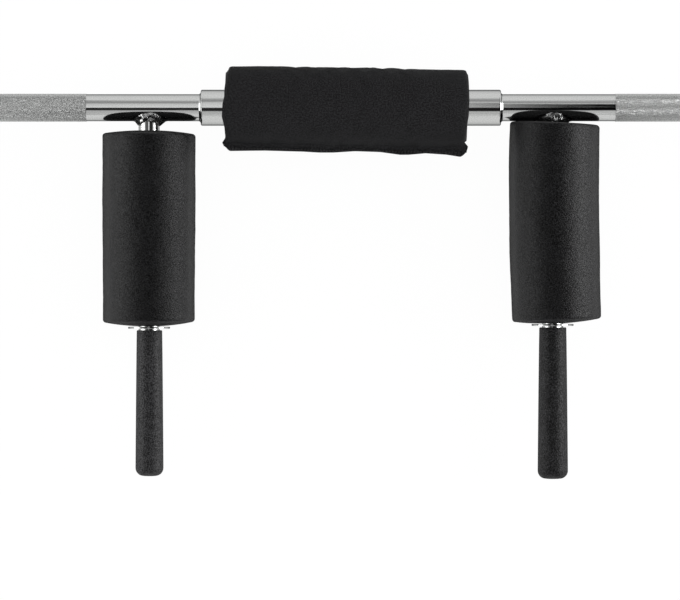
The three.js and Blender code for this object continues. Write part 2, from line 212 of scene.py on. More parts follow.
# The arms' welds: ripples round each, the seed and the waves of its lumps, how wide its surface
# is taken to be for them, and the span of its texture; and how deep the centre tube's welds
# reach into the shaft
WELD_RIPPLES = 34
WELD_SEED, WELD_LUMPS = 31, (0.004, 0.009, 8)
WELD_WIDTH = 0.009
WELD_TEXTURE = (0.012, 0.1)
WELD_SUNK = 0.0002

# The tint of chromium plate at its rim, a painted shade of the bar's shadow that the rim reflects, the tint
# of fuzz on cloth, and one repeat of the weave
CHROME_RIM_SHADE = "#3C3E40"
FUZZ = "#B8B8BA"
THREAD_REPEAT = 0.0022

# The neck pad: its middle and half length, its crown, its lips, which are cut round at their
# ends, and its tapes
PAD_MIDDLE = -0.005
PAD_HALF = 0.1285
PAD_CROWN = 0.0008
COVER_OVER_FOAM = 0.001
LIP_FACE = 0.00345
LIP_REACH = 0.0468
LIP_COLUMNS = 10
LIP_CUT = 0.005
TAPE_NEAR = 0.0395
TAPE_INSET = 0.0012
TAPE_THICKNESS = 0.0012
TAPE_FROM_END = 0.01

# The foam in the pad: the bevel of its ends, along and inwards, how far they bulge, the
# rounding of its bore, and how far it lies below the cover
FOAM_BEVEL = (0.005, 0.0012)
FOAM_BULGE = 0.0004
FOAM_EDGE = 0.0015
FOAM_BELOW = 0.0006

# The cover's waves: folds off the seam, slow and fine unevenness, and the flutter of the lips
COVER_FOLDS = (5, 0.012, 0.04, 14)
COVER_SLOW = (8, 0.05, 0.14, 9)
COVER_FINE = (21, 0.006, 0.016, 16)
LIP_FLUTTER = (13, 0.02, 0.05, 6)
LIP_FLUTTER_HEIGHT = 0.0007

# The cloth simulation of the cover: its steps, the farthest that a point may move, how firmly the
# roll's points are held, and the cloth itself
PUCKER_FRAMES = 20
PUCKER_CAP = 0.0009
PUCKER_HOLD = 0.3
CLOTH = {
    "vertex_group_mass": "held",
    "quality": 6,
    "mass": 0.3,
    "tension_stiffness": 15.0,
    "compression_stiffness": 15.0,
    "bending_stiffness": 20.0,
    "use_pressure": True,
    "uniform_pressure_force": 4.0,
}

# The stitches: two rows on each lip at these shares of it, how far apart the stitches start as a
# share of their length, how far back and ahead a row's direction is read, and their rings and
# sides
STITCH_ROWS = (0.2, 0.62)
STITCH_STEP = 1.28
STITCH_LOOK = 0.0005
STITCH_RINGS = 7
STITCH_SIDES = 6

# The line of the lips' edge along the pad: places along it, and how far ahead the edge reaches
EDGE_LINE = (
    [-0.13, -0.085, -0.045, -0.028, -0.012, 0.01, 0.037, 0.058, 0.067, 0.085, 0.108, 0.122, 0.13],
    [0.0472, 0.046, 0.0464, 0.0471, 0.0468, 0.045, 0.0454, 0.048, 0.0478, 0.0459, 0.047, 0.0489, 0.0497],
)

# How far each end of the cover bulges or falls short, from its back to its front
LEFT_END = (
    [-0.037, -0.029, -0.016, -0.008, -0.001, 0.013, 0.024, 0.034, 0.0395, 0.044],
    [0.003, 0.0022, 0.0008, 0.0008, -0.0008, -0.0014, 0.0014, 0.0022, -0.0014, 0.0014],
)
RIGHT_END = (
    [-0.036, -0.029, -0.016, -0.008, 0.008, 0.013, 0.024, 0.031, 0.034, 0.039, 0.044, 0.05],
    [-0.001, -0.0005, 0.0, 0.0002, -0.0002, -0.001, -0.0023, -0.0034, -0.0038, 0.0006, -0.0008, -0.0022],
)

# How uneven the rollers are, coarsely and finely: the height, the seed and the waves
ROLLER_UNEVEN = [(0.0003, 11, 0.03, 0.09), (0.0001, 17, 0.008, 0.02)]

# How each roller was cut: how much nearer the shaft it starts than its solid, shares of the dome
# and slants at its near and far end, and its share of the girth and its place sideways at some
# shares of its length
ROLLER_FORM = {
    "left": {
        "nearer": 0.0,
        "domes": (1.0, 1.25),
        "slants": (0.0005, -0.0004),
        "girths": [(0, 1.023), (0.5, 1.018), (1, 1.006)],
        "leans": [(0, -0.0001), (1, -0.0003)],
    },
    "right": {
        "nearer": 0.0009,
        "domes": (0.2, 1.0),
        "slants": (0.0021, -0.0019),
        "girths": [(0, 0.984), (0.2, 0.983), (0.42, 0.999), (0.65, 0.985), (0.9, 0.977), (1, 0.978)],
        "leans": [(0, 0.0023), (0.3, 0.0015), (0.45, 0.0015), (0.6, 0.0021), (0.8, 0.0031), (1, 0.0044)],
    },
}

# Each grip's share of the girth at its mouth and at its end, its place sideways, and its painted
# # light: below 1 it darkens the grip's colour and shine, a painted shade where less light falls
GRIP_FORM = {"left": (0.985, 0.98, 0.0004, 1.0), "right": (1.045, 1.06, 0.0002, 0.76)}

# The studio: the height of its floor and ceiling, how white the floor and the surround are, and
# how far the ceiling reaches to each side for each metre of its height
FLOOR_LEVEL = -0.0016
FLOOR_SPAN = 30.0
FLOOR_WHITE = 0.965
WORLD_LEVEL = 0.95
CEILING = 4.9
CEILING_SLOPE = 2.2
# Where, towards +X and -X, the lane over the bar gives over to the sides of the ceiling
LANE_EDGE = (0.55, 1.3)
# Light of that lane, by the angle from straight up, towards +Y
LANE_LIGHT = (
    [-62, -55, -40, -27, -22, -4, 0, 21, 30, 39, 48, 57, 64],
    [1.0, 0.9, 0.72, 0.7, 0.03, 0.03, 1.1, 0.95, 0.86, 0.48, 0.44, 0.68, 0.95],
)
# Light of the ceiling on either side of that lane, by the angle towards +X
SIDE_LIGHT = (
    [-62, -50, -38, -26, -12, 8, 35, 44, 62],
    [1.0, 0.85, 0.35, 0.1, 0.04, 0.04, 0.03, 0.6, 1.0],
)
# The dark patch over the bar's right end: where it darkens along X, and between which angles it
# lies; and where along X the rest of the lane brightens, and how much
PATCH_START = (0.1, 0.46)
PATCH_ANGLES = (-26, -22, 26, 31)
RIGHT_START = (0.5, 0.8)
RIGHT_GAIN = 1.3
# The soft boxes: where each stands, its width and height, and its power in watts
SOFT_BOXES = [
    ("left", (-1.7, 0.1, 0.6), 1.8, 1.1, 13.0),
    ("right", (1.7, 0.3, 0.6), 1.0, 1.1, 25.0),
    ("front", (0.0, -1.9, 0.55), 1.6, 0.6, 12.0),
]
CAMERA = (-0.0115, -0.0278, 5.05)
PICTURE_WIDTH = 0.7208
SENSOR_WIDTH = 36.0
FARTHEST_SEEN = 100.0


# Surfaces


def mesh_piece(name, points, faces, finish, uv=None, marks=None, smooth=True, sharp=0.6):
    """A mesh object from an array of points (count, 3) and one of faces (count, 3 or 4).

    uv holds a pair for each corner of each face, and marks a named value for each point, or one
    for all of them. Points that coincide are merged, so a pole or a seam is closed, and the faces
    are turned outwards.
    """
    mesh = bpy.data.meshes.new(name)
    mesh.vertices.add(len(points))
    mesh.vertices.foreach_set("co", points.astype(np.float32).ravel())
    mesh.loops.add(faces.size)
    mesh.loops.foreach_set("vertex_index", faces.astype(np.int32).ravel())
    mesh.polygons.add(len(faces))
    mesh.polygons.foreach_set("loop_start", np.arange(0, faces.size, faces.shape[1], dtype=np.int32))
    mesh.update(calc_edges=True)
    if uv is not None:
        layer = mesh.uv_layers.new(name="surface")
        layer.data.foreach_set("uv", uv.astype(np.float32).ravel())
    for mark, values in (marks or {}).items():
        layer = mesh.attributes.new(mark, "FLOAT", "POINT")
        layer.data.foreach_set("value", np.resize(values, len(points)).astype(np.float32))
    work = bmesh.new()
    work.from_mesh(mesh)
    bmesh.ops.remove_doubles(work, verts=work.verts, dist=MERGE)
    bmesh.ops.recalc_face_normals(work, faces=work.faces)
    work.to_mesh(mesh)
    work.free()
    mesh.validate()
    mesh.polygons.foreach_set("use_smooth", np.full(len(mesh.polygons), smooth))
    if smooth:
        mesh.set_sharp_from_angle(angle=sharp)
    mesh.materials.append(finish)
    piece = bpy.data.objects.new(name, mesh)
    bpy.context.scene.collection.objects.link(piece)
    return piece


def grid_faces(rows, columns, along_closed, round_closed):
    """The rows and columns of the four corners of every face of a grid."""
    row = np.arange(rows if along_closed else rows - 1)
    column = np.arange(columns if round_closed else columns - 1)
    row, column = (part.ravel() for part in np.meshgrid(row, column, indexing="ij"))
    corner_rows = np.stack([row, row, row + 1, row + 1], axis=1)
    corner_columns = np.stack([column, column + 1, column + 1, column], axis=1)
    return corner_rows, corner_columns


def grid_piece(name, points, finish, uv=None, along_closed=False, **more):
    """A piece from a grid of points (rows, columns, 3), closed round its columns.

    uv is a grid of pairs with one more row or column than the points where it closes on itself.
    """
    rows, columns = points.shape[:2]
    corner_rows, corner_columns = grid_faces(rows, columns, along_closed, True)
    faces = (corner_rows % rows) * columns + corner_columns % columns
    if uv is not None:
        uv = uv[corner_rows, corner_columns]
    return mesh_piece(name, points.reshape(-1, 3), faces, finish, uv, **more)


def rounded(corners, steps=5):
    """The outline through corners, each (along, radius) or (along, radius, edge).

    An edge becomes an arc into both sides. Its centre lies on the corner's bisector,
    edge / sin(half the corner's angle) away. One more point stands close to each end of an arc,
    so that the flat beside it is shaded flat.
    """
    outline = []
    for i, (along, radius, *edges) in enumerate(corners):
        here = np.array([along, radius])
        if not edges:
            outline.append(here[None])
            continue
        edge = edges[0]
        back = np.array(corners[i - 1][:2]) - here
        on = np.array(corners[(i + 1) % len(corners)][:2]) - here
        back, on = back / np.hypot(*back), on / np.hypot(*on)
        half = np.arccos(np.clip(back @ on, -1, 1)) / 2
        inward = (back + on) / np.hypot(*(back + on))
        centre = here + inward * edge / np.sin(half)
        start = here + back * edge / np.tan(half) - centre
        end = here + on * edge / np.tan(half) - centre
        turn = np.arctan2(start[0] * end[1] - start[1] * end[0], start @ end)
        angles = turn * np.linspace(0, 1, steps + 1)
        cosine, sine = np.cos(angles), np.sin(angles)
        arc = np.stack([start[0] * cosine - start[1] * sine, start[0] * sine + start[1] * cosine], axis=1)
        guard = min(0.2 * edge, 0.0004)
        outline += [(centre + start + back * guard)[None], centre + arc, (centre + end + on * guard)[None]]
    return np.concatenate(outline)


def mirrored(half):
    """The corners of an outline that is the same on both sides of the middle, from one half."""
    return [(-along, *rest) for along, *rest in reversed(half)] + half


def ring_corners(start, end, bore, radius, edge):
    """The corners of a plain ring, with both outer edges rounded."""
    return [(start, bore), (start, radius, edge), (end, radius, edge), (end, bore)]


def shaft_line(side=1):
    """The frame of a piece turned on the shaft: its middle, its direction and a side of it."""
    return AXIS, side * X, Y


def arm_line(side):
    """The frame of a piece turned on an arm: the foot of the arm, its direction and a side."""
    return AXIS + side * ARM_PLACE * X, -Y, X


def placed(line, along, across, up):
    """The points that lie some way along a line's frame, across it and up."""
    origin, forward, aside = line
    return origin + along[..., None] * forward + across[..., None] * aside + up[..., None] * Z


def walk(*parts):
    """How far each point of a path lies along it, from each direction's values."""
    steps = np.sqrt(sum(np.diff(part) ** 2 for part in parts))
    return np.concatenate([[0], np.cumsum(steps)])


def pairs(first, second):
    """A grid of pairs, one of each of two lines of values."""
    return np.stack(np.meshgrid(first, second, indexing="ij"), axis=-1)


def turned(name, corners, line, finish, ring=False, sides=96, steps=5, **more):
    """A turned piece: each point of the outline goes round the line, to radius x (cos t, sin t).

    A ring's outline is closed on itself, and any other starts and ends on the line.
    """
    outline = rounded(corners, steps)
    turn = np.linspace(0, 2 * np.pi, sides + 1)
    along, wide = outline[:, :1], outline[:, 1:]
    points = placed(line, along, wide * np.cos(turn[:-1]), wide * np.sin(turn[:-1]))
    walked = walk(*np.concatenate([outline, outline[:1]]).T)[: len(outline) + ring]
    return grid_piece(name, points, finish, pairs(walked, turn * wide.max()), along_closed=ring, **more)


def waves(first, second, seed, shortest, longest, count=10):
    """An uneven height, about -1 to 1: the sum of sine waves over two distances.

    Each wave has a direction, a length and a start of its own, drawn from a fixed seed.
    """
    draw = np.random.default_rng(seed)
    turns = draw.uniform(0, 2 * np.pi, count)
    lengths = draw.uniform(shortest, longest, count)
    starts = draw.uniform(0, 2 * np.pi, count)
    height = 0.0
    for turn, length, start in zip(turns, lengths, starts):
        walked = first * np.cos(turn) + second * np.sin(turn)
        height = height + np.sin(2 * np.pi * walked / length + start)
    return height / np.sqrt(2 * count)


def smooth_line(stations, share):
    """The value at a share of the length, on the cubic that runs closest to (share, value) pairs."""
    places, values = np.array(stations).T
    return np.polyval(np.polyfit(places, values, min(3, len(places) - 1)), share)


def settle(piece, body, slot, *nodes):
    """Lets a piece ride on a body and stand for its CAD nodes, if any. Its slot is not used."""
    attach(piece, body)
    if nodes:
        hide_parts(*nodes)


# Finishes


def add_node(tree, kind, *values, take=None, **named):
    """Adds a node, and returns its first output in use, or the one that take names.

    A value is a number, a colour or another node's output. Those without a name fill the sockets
    in their order, and those whose name has a capital fill the socket of that name, with _ for a
    space. What else is named is a setting of the node.
    """
    made = tree.nodes.new(f"ShaderNode{kind}")
    sockets = dict(enumerate(values))
    for name, value in named.items():
        if name[0].isupper():
            sockets[name.replace("_", " ")] = value
        else:
            setattr(made, name, value)
    for key, value in sockets.items():
        if isinstance(value, bpy.types.NodeSocket):
            tree.links.new(value, made.inputs[key])
        else:
            made.inputs[key].default_value = value
    return made.outputs[take] if take else next((output for output in made.outputs if output.enabled), None)


def opaque(colour, share=1.0):
    """A colour property as the four values of a socket, darker or lighter by a share."""
    return (*(min(1.0, part * share) for part in colour), 1.0)


def emptied(owner):
    """Takes the nodes of a material or a world away, and returns the function that adds one."""
    owner.use_nodes = True
    owner.node_tree.nodes.clear()
    return partial(add_node, owner.node_tree)


def finish_of(name):
    """A material without nodes, and the function that adds one to it."""
    made = bpy.data.materials.get(name) or bpy.data.materials.new(name)
    return made, emptied(made)


def surfaced(made, add, **sockets):
    """Gives a material its surface shader, whose sockets take values or outputs."""
    add("OutputMaterial", Surface=add("BsdfPrincipled", **sockets))
    return made


def specks(add, where, size):
    """Soft grain, from 0 to 1, whose points lie about the given size in metres apart."""
    return add("MapRange", add("TexNoise", Vector=where, Scale=1.0 / size, Detail=1.0), 0.3, 0.7)


def between(add, value, colour, low, high, least=0.0, most=1.0):
    """A colour that runs from one share of itself to another while a value runs from least to most."""
    share = add("MapRange", value, least, most)
    return add("Mix", Factor=share, A=opaque(colour, low), B=opaque(colour, high), data_type="RGBA")


def shine_through_pores(add, pores, shine, roughness, share=1.0):
    """Lets open pores swallow light, the more the flatter the skin is seen.

    Shine and roughness each run from their value seen straight on to the one seen flat.
    """
    facing = add("LayerWeight", Blend=0.5, take="Facing")
    skin = add("MapRange", facing, 0.3, 0.95, *shine)
    dull = add("MapRange", facing, 0.5, 0.85, *roughness)
    open_share = add("MapRange", pores, 0.0, 1.0, 0.35, 1.65)
    kept = add("Math", skin, open_share, operation="MULTIPLY")
    kept = add("Math", kept, share, operation="MULTIPLY")
    return {"Specular_Tint": kept, "Roughness": dull}


def polished_chrome(colours):
    """Bright chromium plate on steel that was buffed along its length.

    The buffing leaves long faint lines, so reflections stay sharp but waver and streak a little.
    """
    made, add = finish_of("polished chrome plate")
    surface = add("TexCoord", take="UV")
    # Buffing lines about 1.2 mm apart and 40 mm long
    stretched = add("Mapping", Vector=surface, Scale=(25.0, 830.0, 1.0))
    lines = add("TexNoise", Vector=stretched, Scale=1.0, Detail=3.0, Roughness=0.6)
    rough = add("MapRange", lines, 0.3, 0.75, 0.05, 0.13)
    # Slow waviness of the tube under the plate, about 60 mm long
    slow = add("TexNoise", Vector=surface, Scale=16.0, Detail=1.0)
    height = add("Math", slow, 6.0, lines, operation="MULTIPLY_ADD")
    bump = add("Bump", Height=height, Strength=0.25, Distance=0.00004)
    # Specks of about 1 mm, where dust and water marks lie on the plate
    marks = add("Math", lines, specks(add, surface, 0.001), operation="ADD")
    tone = between(add, marks, colours.chrome, 0.84, 1.1, 0.55, 1.4)
    # The dark rim tint is a painted shade: it stands in for the bar's shadow that the rim reflects
    plate = {"Metallic": 1.0, "Specular_Tint": opaque(linear(CHROME_RIM_SHADE))}
    return surfaced(made, add, Roughness=rough, Base_Color=tone, Normal=bump, **plate)


def plated_weld(colours):
    """Chromium plate over an unground weld: lumpy and less bright than the tubes beside it."""
    made, add = finish_of("plated weld metal")
    # Lumps of about 2.5 mm with finer spatter on them
    lumps = add("TexNoise", Vector=add("TexCoord", take="Object"), Scale=400.0, Detail=3.0, Roughness=0.6)
    tone = between(add, lumps, colours.chrome, 0.85, 1.3, 0.35, 0.65)
    bump = add("Bump", Height=lumps, Strength=0.7, Distance=0.0007)
    return surfaced(made, add, Metallic=1.0, Roughness=0.2, Base_Color=tone, Normal=bump)


def knurled_chrome(colours):
    """Chromium plate over a rolled diamond knurl.

    The points are bright and the grooves keep dust and a duller plate, so it reads as mid grey.
    """
    made, add = finish_of("knurled chrome plate")
    point = add("Attribute", attribute_name="knurl_point", take="Fac")
    where = add("TexCoord", take="UV")
    # Uneven plate and dust, from point to point and in patches of about 1.5 mm
    patches = add("TexNoise", Vector=where, Scale=700.0, Detail=2.0, Roughness=0.65)
    uneven = add("Math", specks(add, where, 0.0012), 2.2, patches, operation="MULTIPLY_ADD")
    clean = add("Math", point, 0.35, uneven, operation="MULTIPLY_ADD")
    tone = between(add, clean, colours.chrome, 0.5, 1.1, 0.8, 2.6)
    # The dark rim tint is a painted shade: it stands in for the bar's shadow that the rim reflects
    plate = {"Metallic": 1.0, "Specular_Tint": opaque(linear(CHROME_RIM_SHADE))}
    return surfaced(made, add, Roughness=0.31, Base_Color=tone, **plate)


def sintered_bronze(colours):
    """Oil-soaked sintered bronze: a warm, slightly open surface with fine dark pores."""
    made, add = finish_of("sintered bronze")
    # Pores about 0.4 mm apart
    pores = add("TexVoronoi", Vector=add("TexCoord", take="Object"), Scale=2500.0)
    tone = between(add, pores, colours.bronze, 0.55, 1.1)
    bump = add("Bump", Height=pores, Strength=0.3, Distance=0.0001)
    return surfaced(made, add, Metallic=1.0, Roughness=0.38, Base_Color=tone, Normal=bump)


def blackened_steel(colours):
    """Oil-blackened spring steel: dark, half matt, with rubbed brighter patches."""
    made, add = finish_of("blackened spring steel")
    # Rubbed patches of about 4 mm
    painted_light = add("TexNoise", Vector=add("TexCoord", take="Object"), Scale=250.0, Detail=4.0)
    rough = add("MapRange", painted_light, 0.0, 1.0, 0.5, 0.28)
    tone = between(add, painted_light, colours.black_steel, 0.6, 1.3)
    return surfaced(made, add, Metallic=1.0, Roughness=rough, Base_Color=tone)


def skinned_foam(colours):
    """Closed-cell rubber foam with the dull skin of its mould.

    The skin has fine pores, faint cloudy mottling and shallow dimples, and a soft, broad shine
    towards the light.
    """
    made, add = finish_of("skinned rubber foam")
    where = add("TexCoord", take="Object")
    # Pores about 1.1 mm apart: the real ones are finer and would not show
    pores = specks(add, where, 0.0011)
    # Dimples of about 1.2 mm, and clouds of about 20 mm
    dimples = add("TexNoise", Vector=where, Scale=850.0, Detail=2.0, Roughness=0.7)
    clouds = add("TexNoise", Vector=where, Scale=48.0, Detail=4.0)
    mottled = add("Math", clouds, 0.6, pores, operation="MULTIPLY_ADD")
    tone = between(add, mottled, colours.foam_skin, 0.1, 2.6, 0.45, 1.15)
    uneven = add("Math", pores, 0.35, dimples, operation="MULTIPLY_ADD")
    bump = add("Bump", Height=uneven, Strength=0.7, Distance=0.0006)
    shine = shine_through_pores(add, pores, (0.62, 0.14), (0.4, 0.8))
    return surfaced(made, add, IOR=1.45, Specular_IOR_Level=0.36, Base_Color=tone, Normal=bump, **shine)


def moulded_rubber(colours):
    """Moulded rubber with a stippled skin, slightly chalky where hands rub it.

    A grip's painted light darkens its colour and its shine: painted shade, where less light falls on the
    grip.
    """
    made, add = finish_of("stippled moulded rubber")
    where = add("TexCoord", take="Object")
    # Stipple of about 1.4 mm, a little coarser than the real one so that it shows
    stipple = add("TexVoronoi", Vector=where, Scale=710.0, feature="SMOOTH_F1")
    bump = add("Bump", Height=stipple, Strength=0.7, Distance=0.0005, invert=True)
    # Chalk that hands work into the skin, from speck to speck and in patches of about 8 mm
    chalk = add("TexNoise", Vector=where, Scale=130.0, Detail=5.0, Roughness=0.7)
    grain = specks(add, where, 0.0011)
    # Painted light of each grip, 1 or less: it darkens the colour and the shine of a grip that less light
    # reaches, a painted shade
    painted_light = add("Attribute", attribute_name="painted_light", take="Fac")
    chalk_and_painted_light = add("Math", add("Math", grain, chalk, operation="ADD"), painted_light, operation="MULTIPLY")
    tone = between(add, chalk_and_painted_light, colours.rubber, 0.25, 2.55, 0.7, 1.36)
    shine = shine_through_pores(add, grain, (1.0, 0.3), (0.5, 0.85), painted_light)
    return surfaced(made, add, IOR=1.5, Specular_IOR_Level=0.24, Base_Color=tone, Normal=bump, **shine)


def moulded_abs(colours):
    """Injection-moulded ABS with a fine spark-eroded grain: dark, with an even satin shine."""
    made, add = finish_of("moulded ABS")
    # Grain of about 0.8 mm, coarser than the real one so that it shows
    grain = specks(add, add("TexCoord", take="Object"), 0.0008)
    tone = between(add, grain, colours.cap_plastic, 0.3, 1.6)
    bump = add("Bump", Height=grain, Strength=0.6, Distance=0.0003)
    satin = {"IOR": 1.54, "Specular_IOR_Level": 0.3, "Roughness": 0.48}
    return surfaced(made, add, Base_Color=tone, Normal=bump, **satin)


def woven_cover(colours):
    """Tightly woven polyester: matt, with a faint fuzz that lightens it where it turns away.

    Warp and weft pass over each other in a plain weave, drawn 1.1 mm apart: the real threads lie
    half as far apart and would not show.
    """
    made, add = finish_of("woven polyester")
    surface = add("TexCoord", take="UV")
    sides = add("SeparateXYZ", Vector=surface).node.outputs
    angles = (add("Math", sides[key], 2 * np.pi / THREAD_REPEAT, operation="MULTIPLY") for key in "XY")
    warp, weft = (add("Math", angle, operation="SINE") for angle in angles)
    crossed = add("Math", warp, weft, operation="MULTIPLY")
    # Uneven yarn, about 1.5 mm, slubs about as large, and slow wear, about 25 mm
    yarn = add("TexNoise", Vector=surface, Scale=650.0, Detail=3.0, Roughness=0.7)
    wear = add("TexNoise", Vector=surface, Scale=40.0, Detail=3.0)
    uneven = add("Math", crossed, 0.18, yarn, operation="MULTIPLY_ADD")
    worn = add("Math", wear, 0.25, uneven, operation="MULTIPLY_ADD")
    mottled = add("Math", specks(add, surface, 0.0014), worn, operation="ADD")
    tone = between(add, mottled, colours.cover, 0.4, 1.7, 0.82, 1.46)
    bump = add("Bump", Height=uneven, Strength=0.5, Distance=0.0003)
    fuzz = {"Sheen_Weight": 0.01, "Sheen_Roughness": 0.5, "Sheen_Tint": opaque(linear(FUZZ))}
    return surfaced(made, add, Roughness=0.9, Specular_IOR_Level=0.08, Base_Color=tone, Normal=bump, **fuzz)


def open_foam(colours):
    """Cut open-cell foam: dull, with small dark pores."""
    made, add = finish_of("open-cell padding foam")
    # Cells about 1.1 mm apart
    cells = add("TexVoronoi", Vector=add("TexCoord", take="Object"), Scale=900.0)
    tone = between(add, cells, colours.padding, 0.4, 1.3)
    bump = add("Bump", Height=cells, Strength=0.8, Distance=0.0005)
    return surfaced(made, add, Roughness=0.95, Specular_IOR_Level=0.2, Base_Color=tone, Normal=bump)


def hook_and_loop(colours):
    """Nylon hook and loop tape: very matt, with a close pile."""
    made, add = finish_of("hook and loop tape")
    # Pile about 0.8 mm apart
    pile = add("TexVoronoi", Vector=add("TexCoord", take="Object"), Scale=1250.0)
    tone = between(add, pile, colours.tape, 1.6, 0.5)
    bump = add("Bump", Height=pile, Strength=0.8, Distance=0.0003, invert=True)
    matt = {"Roughness": 0.95, "Specular_IOR_Level": 0.2, "Sheen_Weight": 0.3}
    return surfaced(made, add, Base_Color=tone, Normal=bump, **matt)


def sewing_thread(colours):
    """Twisted polyester thread: a little lighter and shinier than the cloth it holds."""
    made, add = finish_of("polyester thread")
    # Twist of about 0.6 mm
    twist = add("TexNoise", Vector=add("TexCoord", take="Object"), Scale=1700.0, Detail=1.0)
    tone = between(add, twist, colours.thread, 0.6, 1.4)
    return surfaced(made, add, Roughness=0.6, Specular_IOR_Level=0.4, Sheen_Weight=0.1, Base_Color=tone)


# Operators


class MakeShaft(bpy.types.Operator):
    """Make the polished shaft with its journals, and the two knurled lengths"""

    bl_idname = "squatbar.make_shaft"
    bl_label = "Shaft"

    def execute(self, context):
        sizes, colours = context.scene.bar_steel, context.scene.bar_finish
        radius, journal = sizes.shaft_diameter / 2, sizes.journal_diameter / 2
        knurl_start = ARM_PLACE + context.scene.bar_foam.roller_diameter / 2 + KNURL_MARGIN
        shoulder = reach("right_sleeve")[0] - FIT
        knurl_end = shoulder - KNURL_TO_SHOULDER
        root = radius + sizes.knurl_rise - sizes.knurl_depth - FIT / 3
        groove_start = reach("right_thrust_washer")[1] + FIT
        groove_end = reach("right_snap_ring")[1] + FIT
        end = float(SHAFT_BOX[1, 0])
        half = [
            (knurl_start, radius),
            (knurl_start, root),
            (knurl_end, root),
            (knurl_end, radius),
            (shoulder, radius, FINE_EDGE),
            (shoulder, journal),
            (groove_start, journal),
            (groove_start, journal - GROOVE_DEPTH),
            (groove_end, journal - GROOVE_DEPTH),
            (groove_end, journal),
            (end, journal, JOURNAL_ROUND),
            (end, 0.0),
        ]
        chrome = polished_chrome(colours)
        shaft = turned("shaft_polished", mirrored(half), shaft_line(), chrome, sides=ROUND_SIDES)
        settle(shaft, "bar", "chrome", "shaft")
        for name, side in SIDES.items():
            knurl = self.knurl(f"{name}_knurl", side, knurl_start, knurl_end, sizes, knurled_chrome(colours))
            settle(knurl, "bar", "knurled_chrome")
        return {"FINISHED"}

    def knurl(self, name, side, start, end, sizes, finish):
        """A knurled length: points and grooves alternate over a grid of half diamonds.

        The radius is the point's where row + column is even and the groove's where it is odd, and
        each face is split between its two grooves, so that every point becomes a pyramid. Each
        corner strays a little from its place, as rolled points do. Two more rows at each end
        close it.
        """
        top = sizes.shaft_diameter / 2 + sizes.knurl_rise
        bottom = top - sizes.knurl_depth
        half_pitch = sizes.knurl_pitch / 2
        columns = 2 * int(round(np.pi * top / half_pitch))
        rows = int(round((end - start) / half_pitch)) + 1
        row, column = np.meshgrid(np.arange(rows), np.arange(columns), indexing="ij")
        inland = np.clip(np.minimum(row, rows - 1 - row), 0, 1)
        rise = ((row + column) % 2 == 0) * inland
        worn = KNURL_WEAR * waves(row * half_pitch, column * half_pitch, *KNURL_WEAR_WAVES)
        radius = bottom + (top - bottom) * rise * (1 - np.abs(worn))
        shift = np.random.default_rng(KNURL_SEED).uniform(-1, 1, (2, rows, columns)) * sizes.knurl_stray
        along = start + (end - start) * row / (rows - 1) + shift[0] * inland
        turn = 2 * np.pi * column / columns
        one_row, two_rows = ((1, 1), (0, 0)), ((2, 2), (0, 0))
        along = np.pad(along, two_rows, constant_values=((start, end), (0, 0)))
        radius = np.pad(radius, one_row, constant_values=bottom - KNURL_CAP_INSET)
        radius = np.pad(radius, one_row)
        turn = np.concatenate([turn[:2], turn + shift[1] / top, turn[:2]])
        points = placed(shaft_line(side), along, radius * np.cos(turn), radius * np.sin(turn))
        round_top = np.tile(np.linspace(0, 2 * np.pi * top, columns + 1), (rows + 4, 1))
        pair = np.stack([np.concatenate([along, along[:, :1]], axis=1), round_top], axis=-1)
        corner_rows, corner_columns = grid_faces(rows + 4, columns, False, True)
        even = (corner_rows[:, :1] + corner_columns[:, :1]) % 2 == 0
        first, second = np.where(even, [[0, 1, 3]], [[0, 1, 2]]), np.where(even, [[1, 2, 3]], [[0, 2, 3]])
        face = np.tile(np.arange(len(even)), 2)[:, None], np.concatenate([first, second])
        corner_rows, corner_columns = corner_rows[face], corner_columns[face]
        faces = corner_rows * columns + corner_columns % columns
        uv = pair[corner_rows, corner_columns]
        marks = {"knurl_point": np.pad(rise, two_rows)}
        return mesh_piece(name, points.reshape(-1, 3), faces, finish, uv, marks, smooth=False)


class MakeCentreTube(bpy.types.Operator):
    """Make the centre tube, with the weld that holds each end to the shaft"""

    bl_idname = "squatbar.make_centre_tube"
    bl_label = "Centre tube"

    def execute(self, context):
        sizes = context.scene.bar_steel
        radius, inside, weld = sizes.tube_diameter / 2, sizes.shaft_diameter / 2, sizes.tube_weld
        end = reach("centre_tube")[1] - weld
        half = [
            (end, radius, sizes.tube_round),
            (end, inside + weld, CREST_EDGE),
            (end + 0.35 * weld, inside + 0.45 * weld, SOFT_EDGE),
            (end + weld, inside - WELD_SUNK),
        ]
        chrome = polished_chrome(context.scene.bar_finish)
        tube = turned(
            "centre_tube_polished", mirrored(half), shaft_line(), chrome, ring=True, sides=ROUND_SIDES
        )
        settle(tube, "bar", "chrome", "centre_tube")
        return {"FINISHED"}


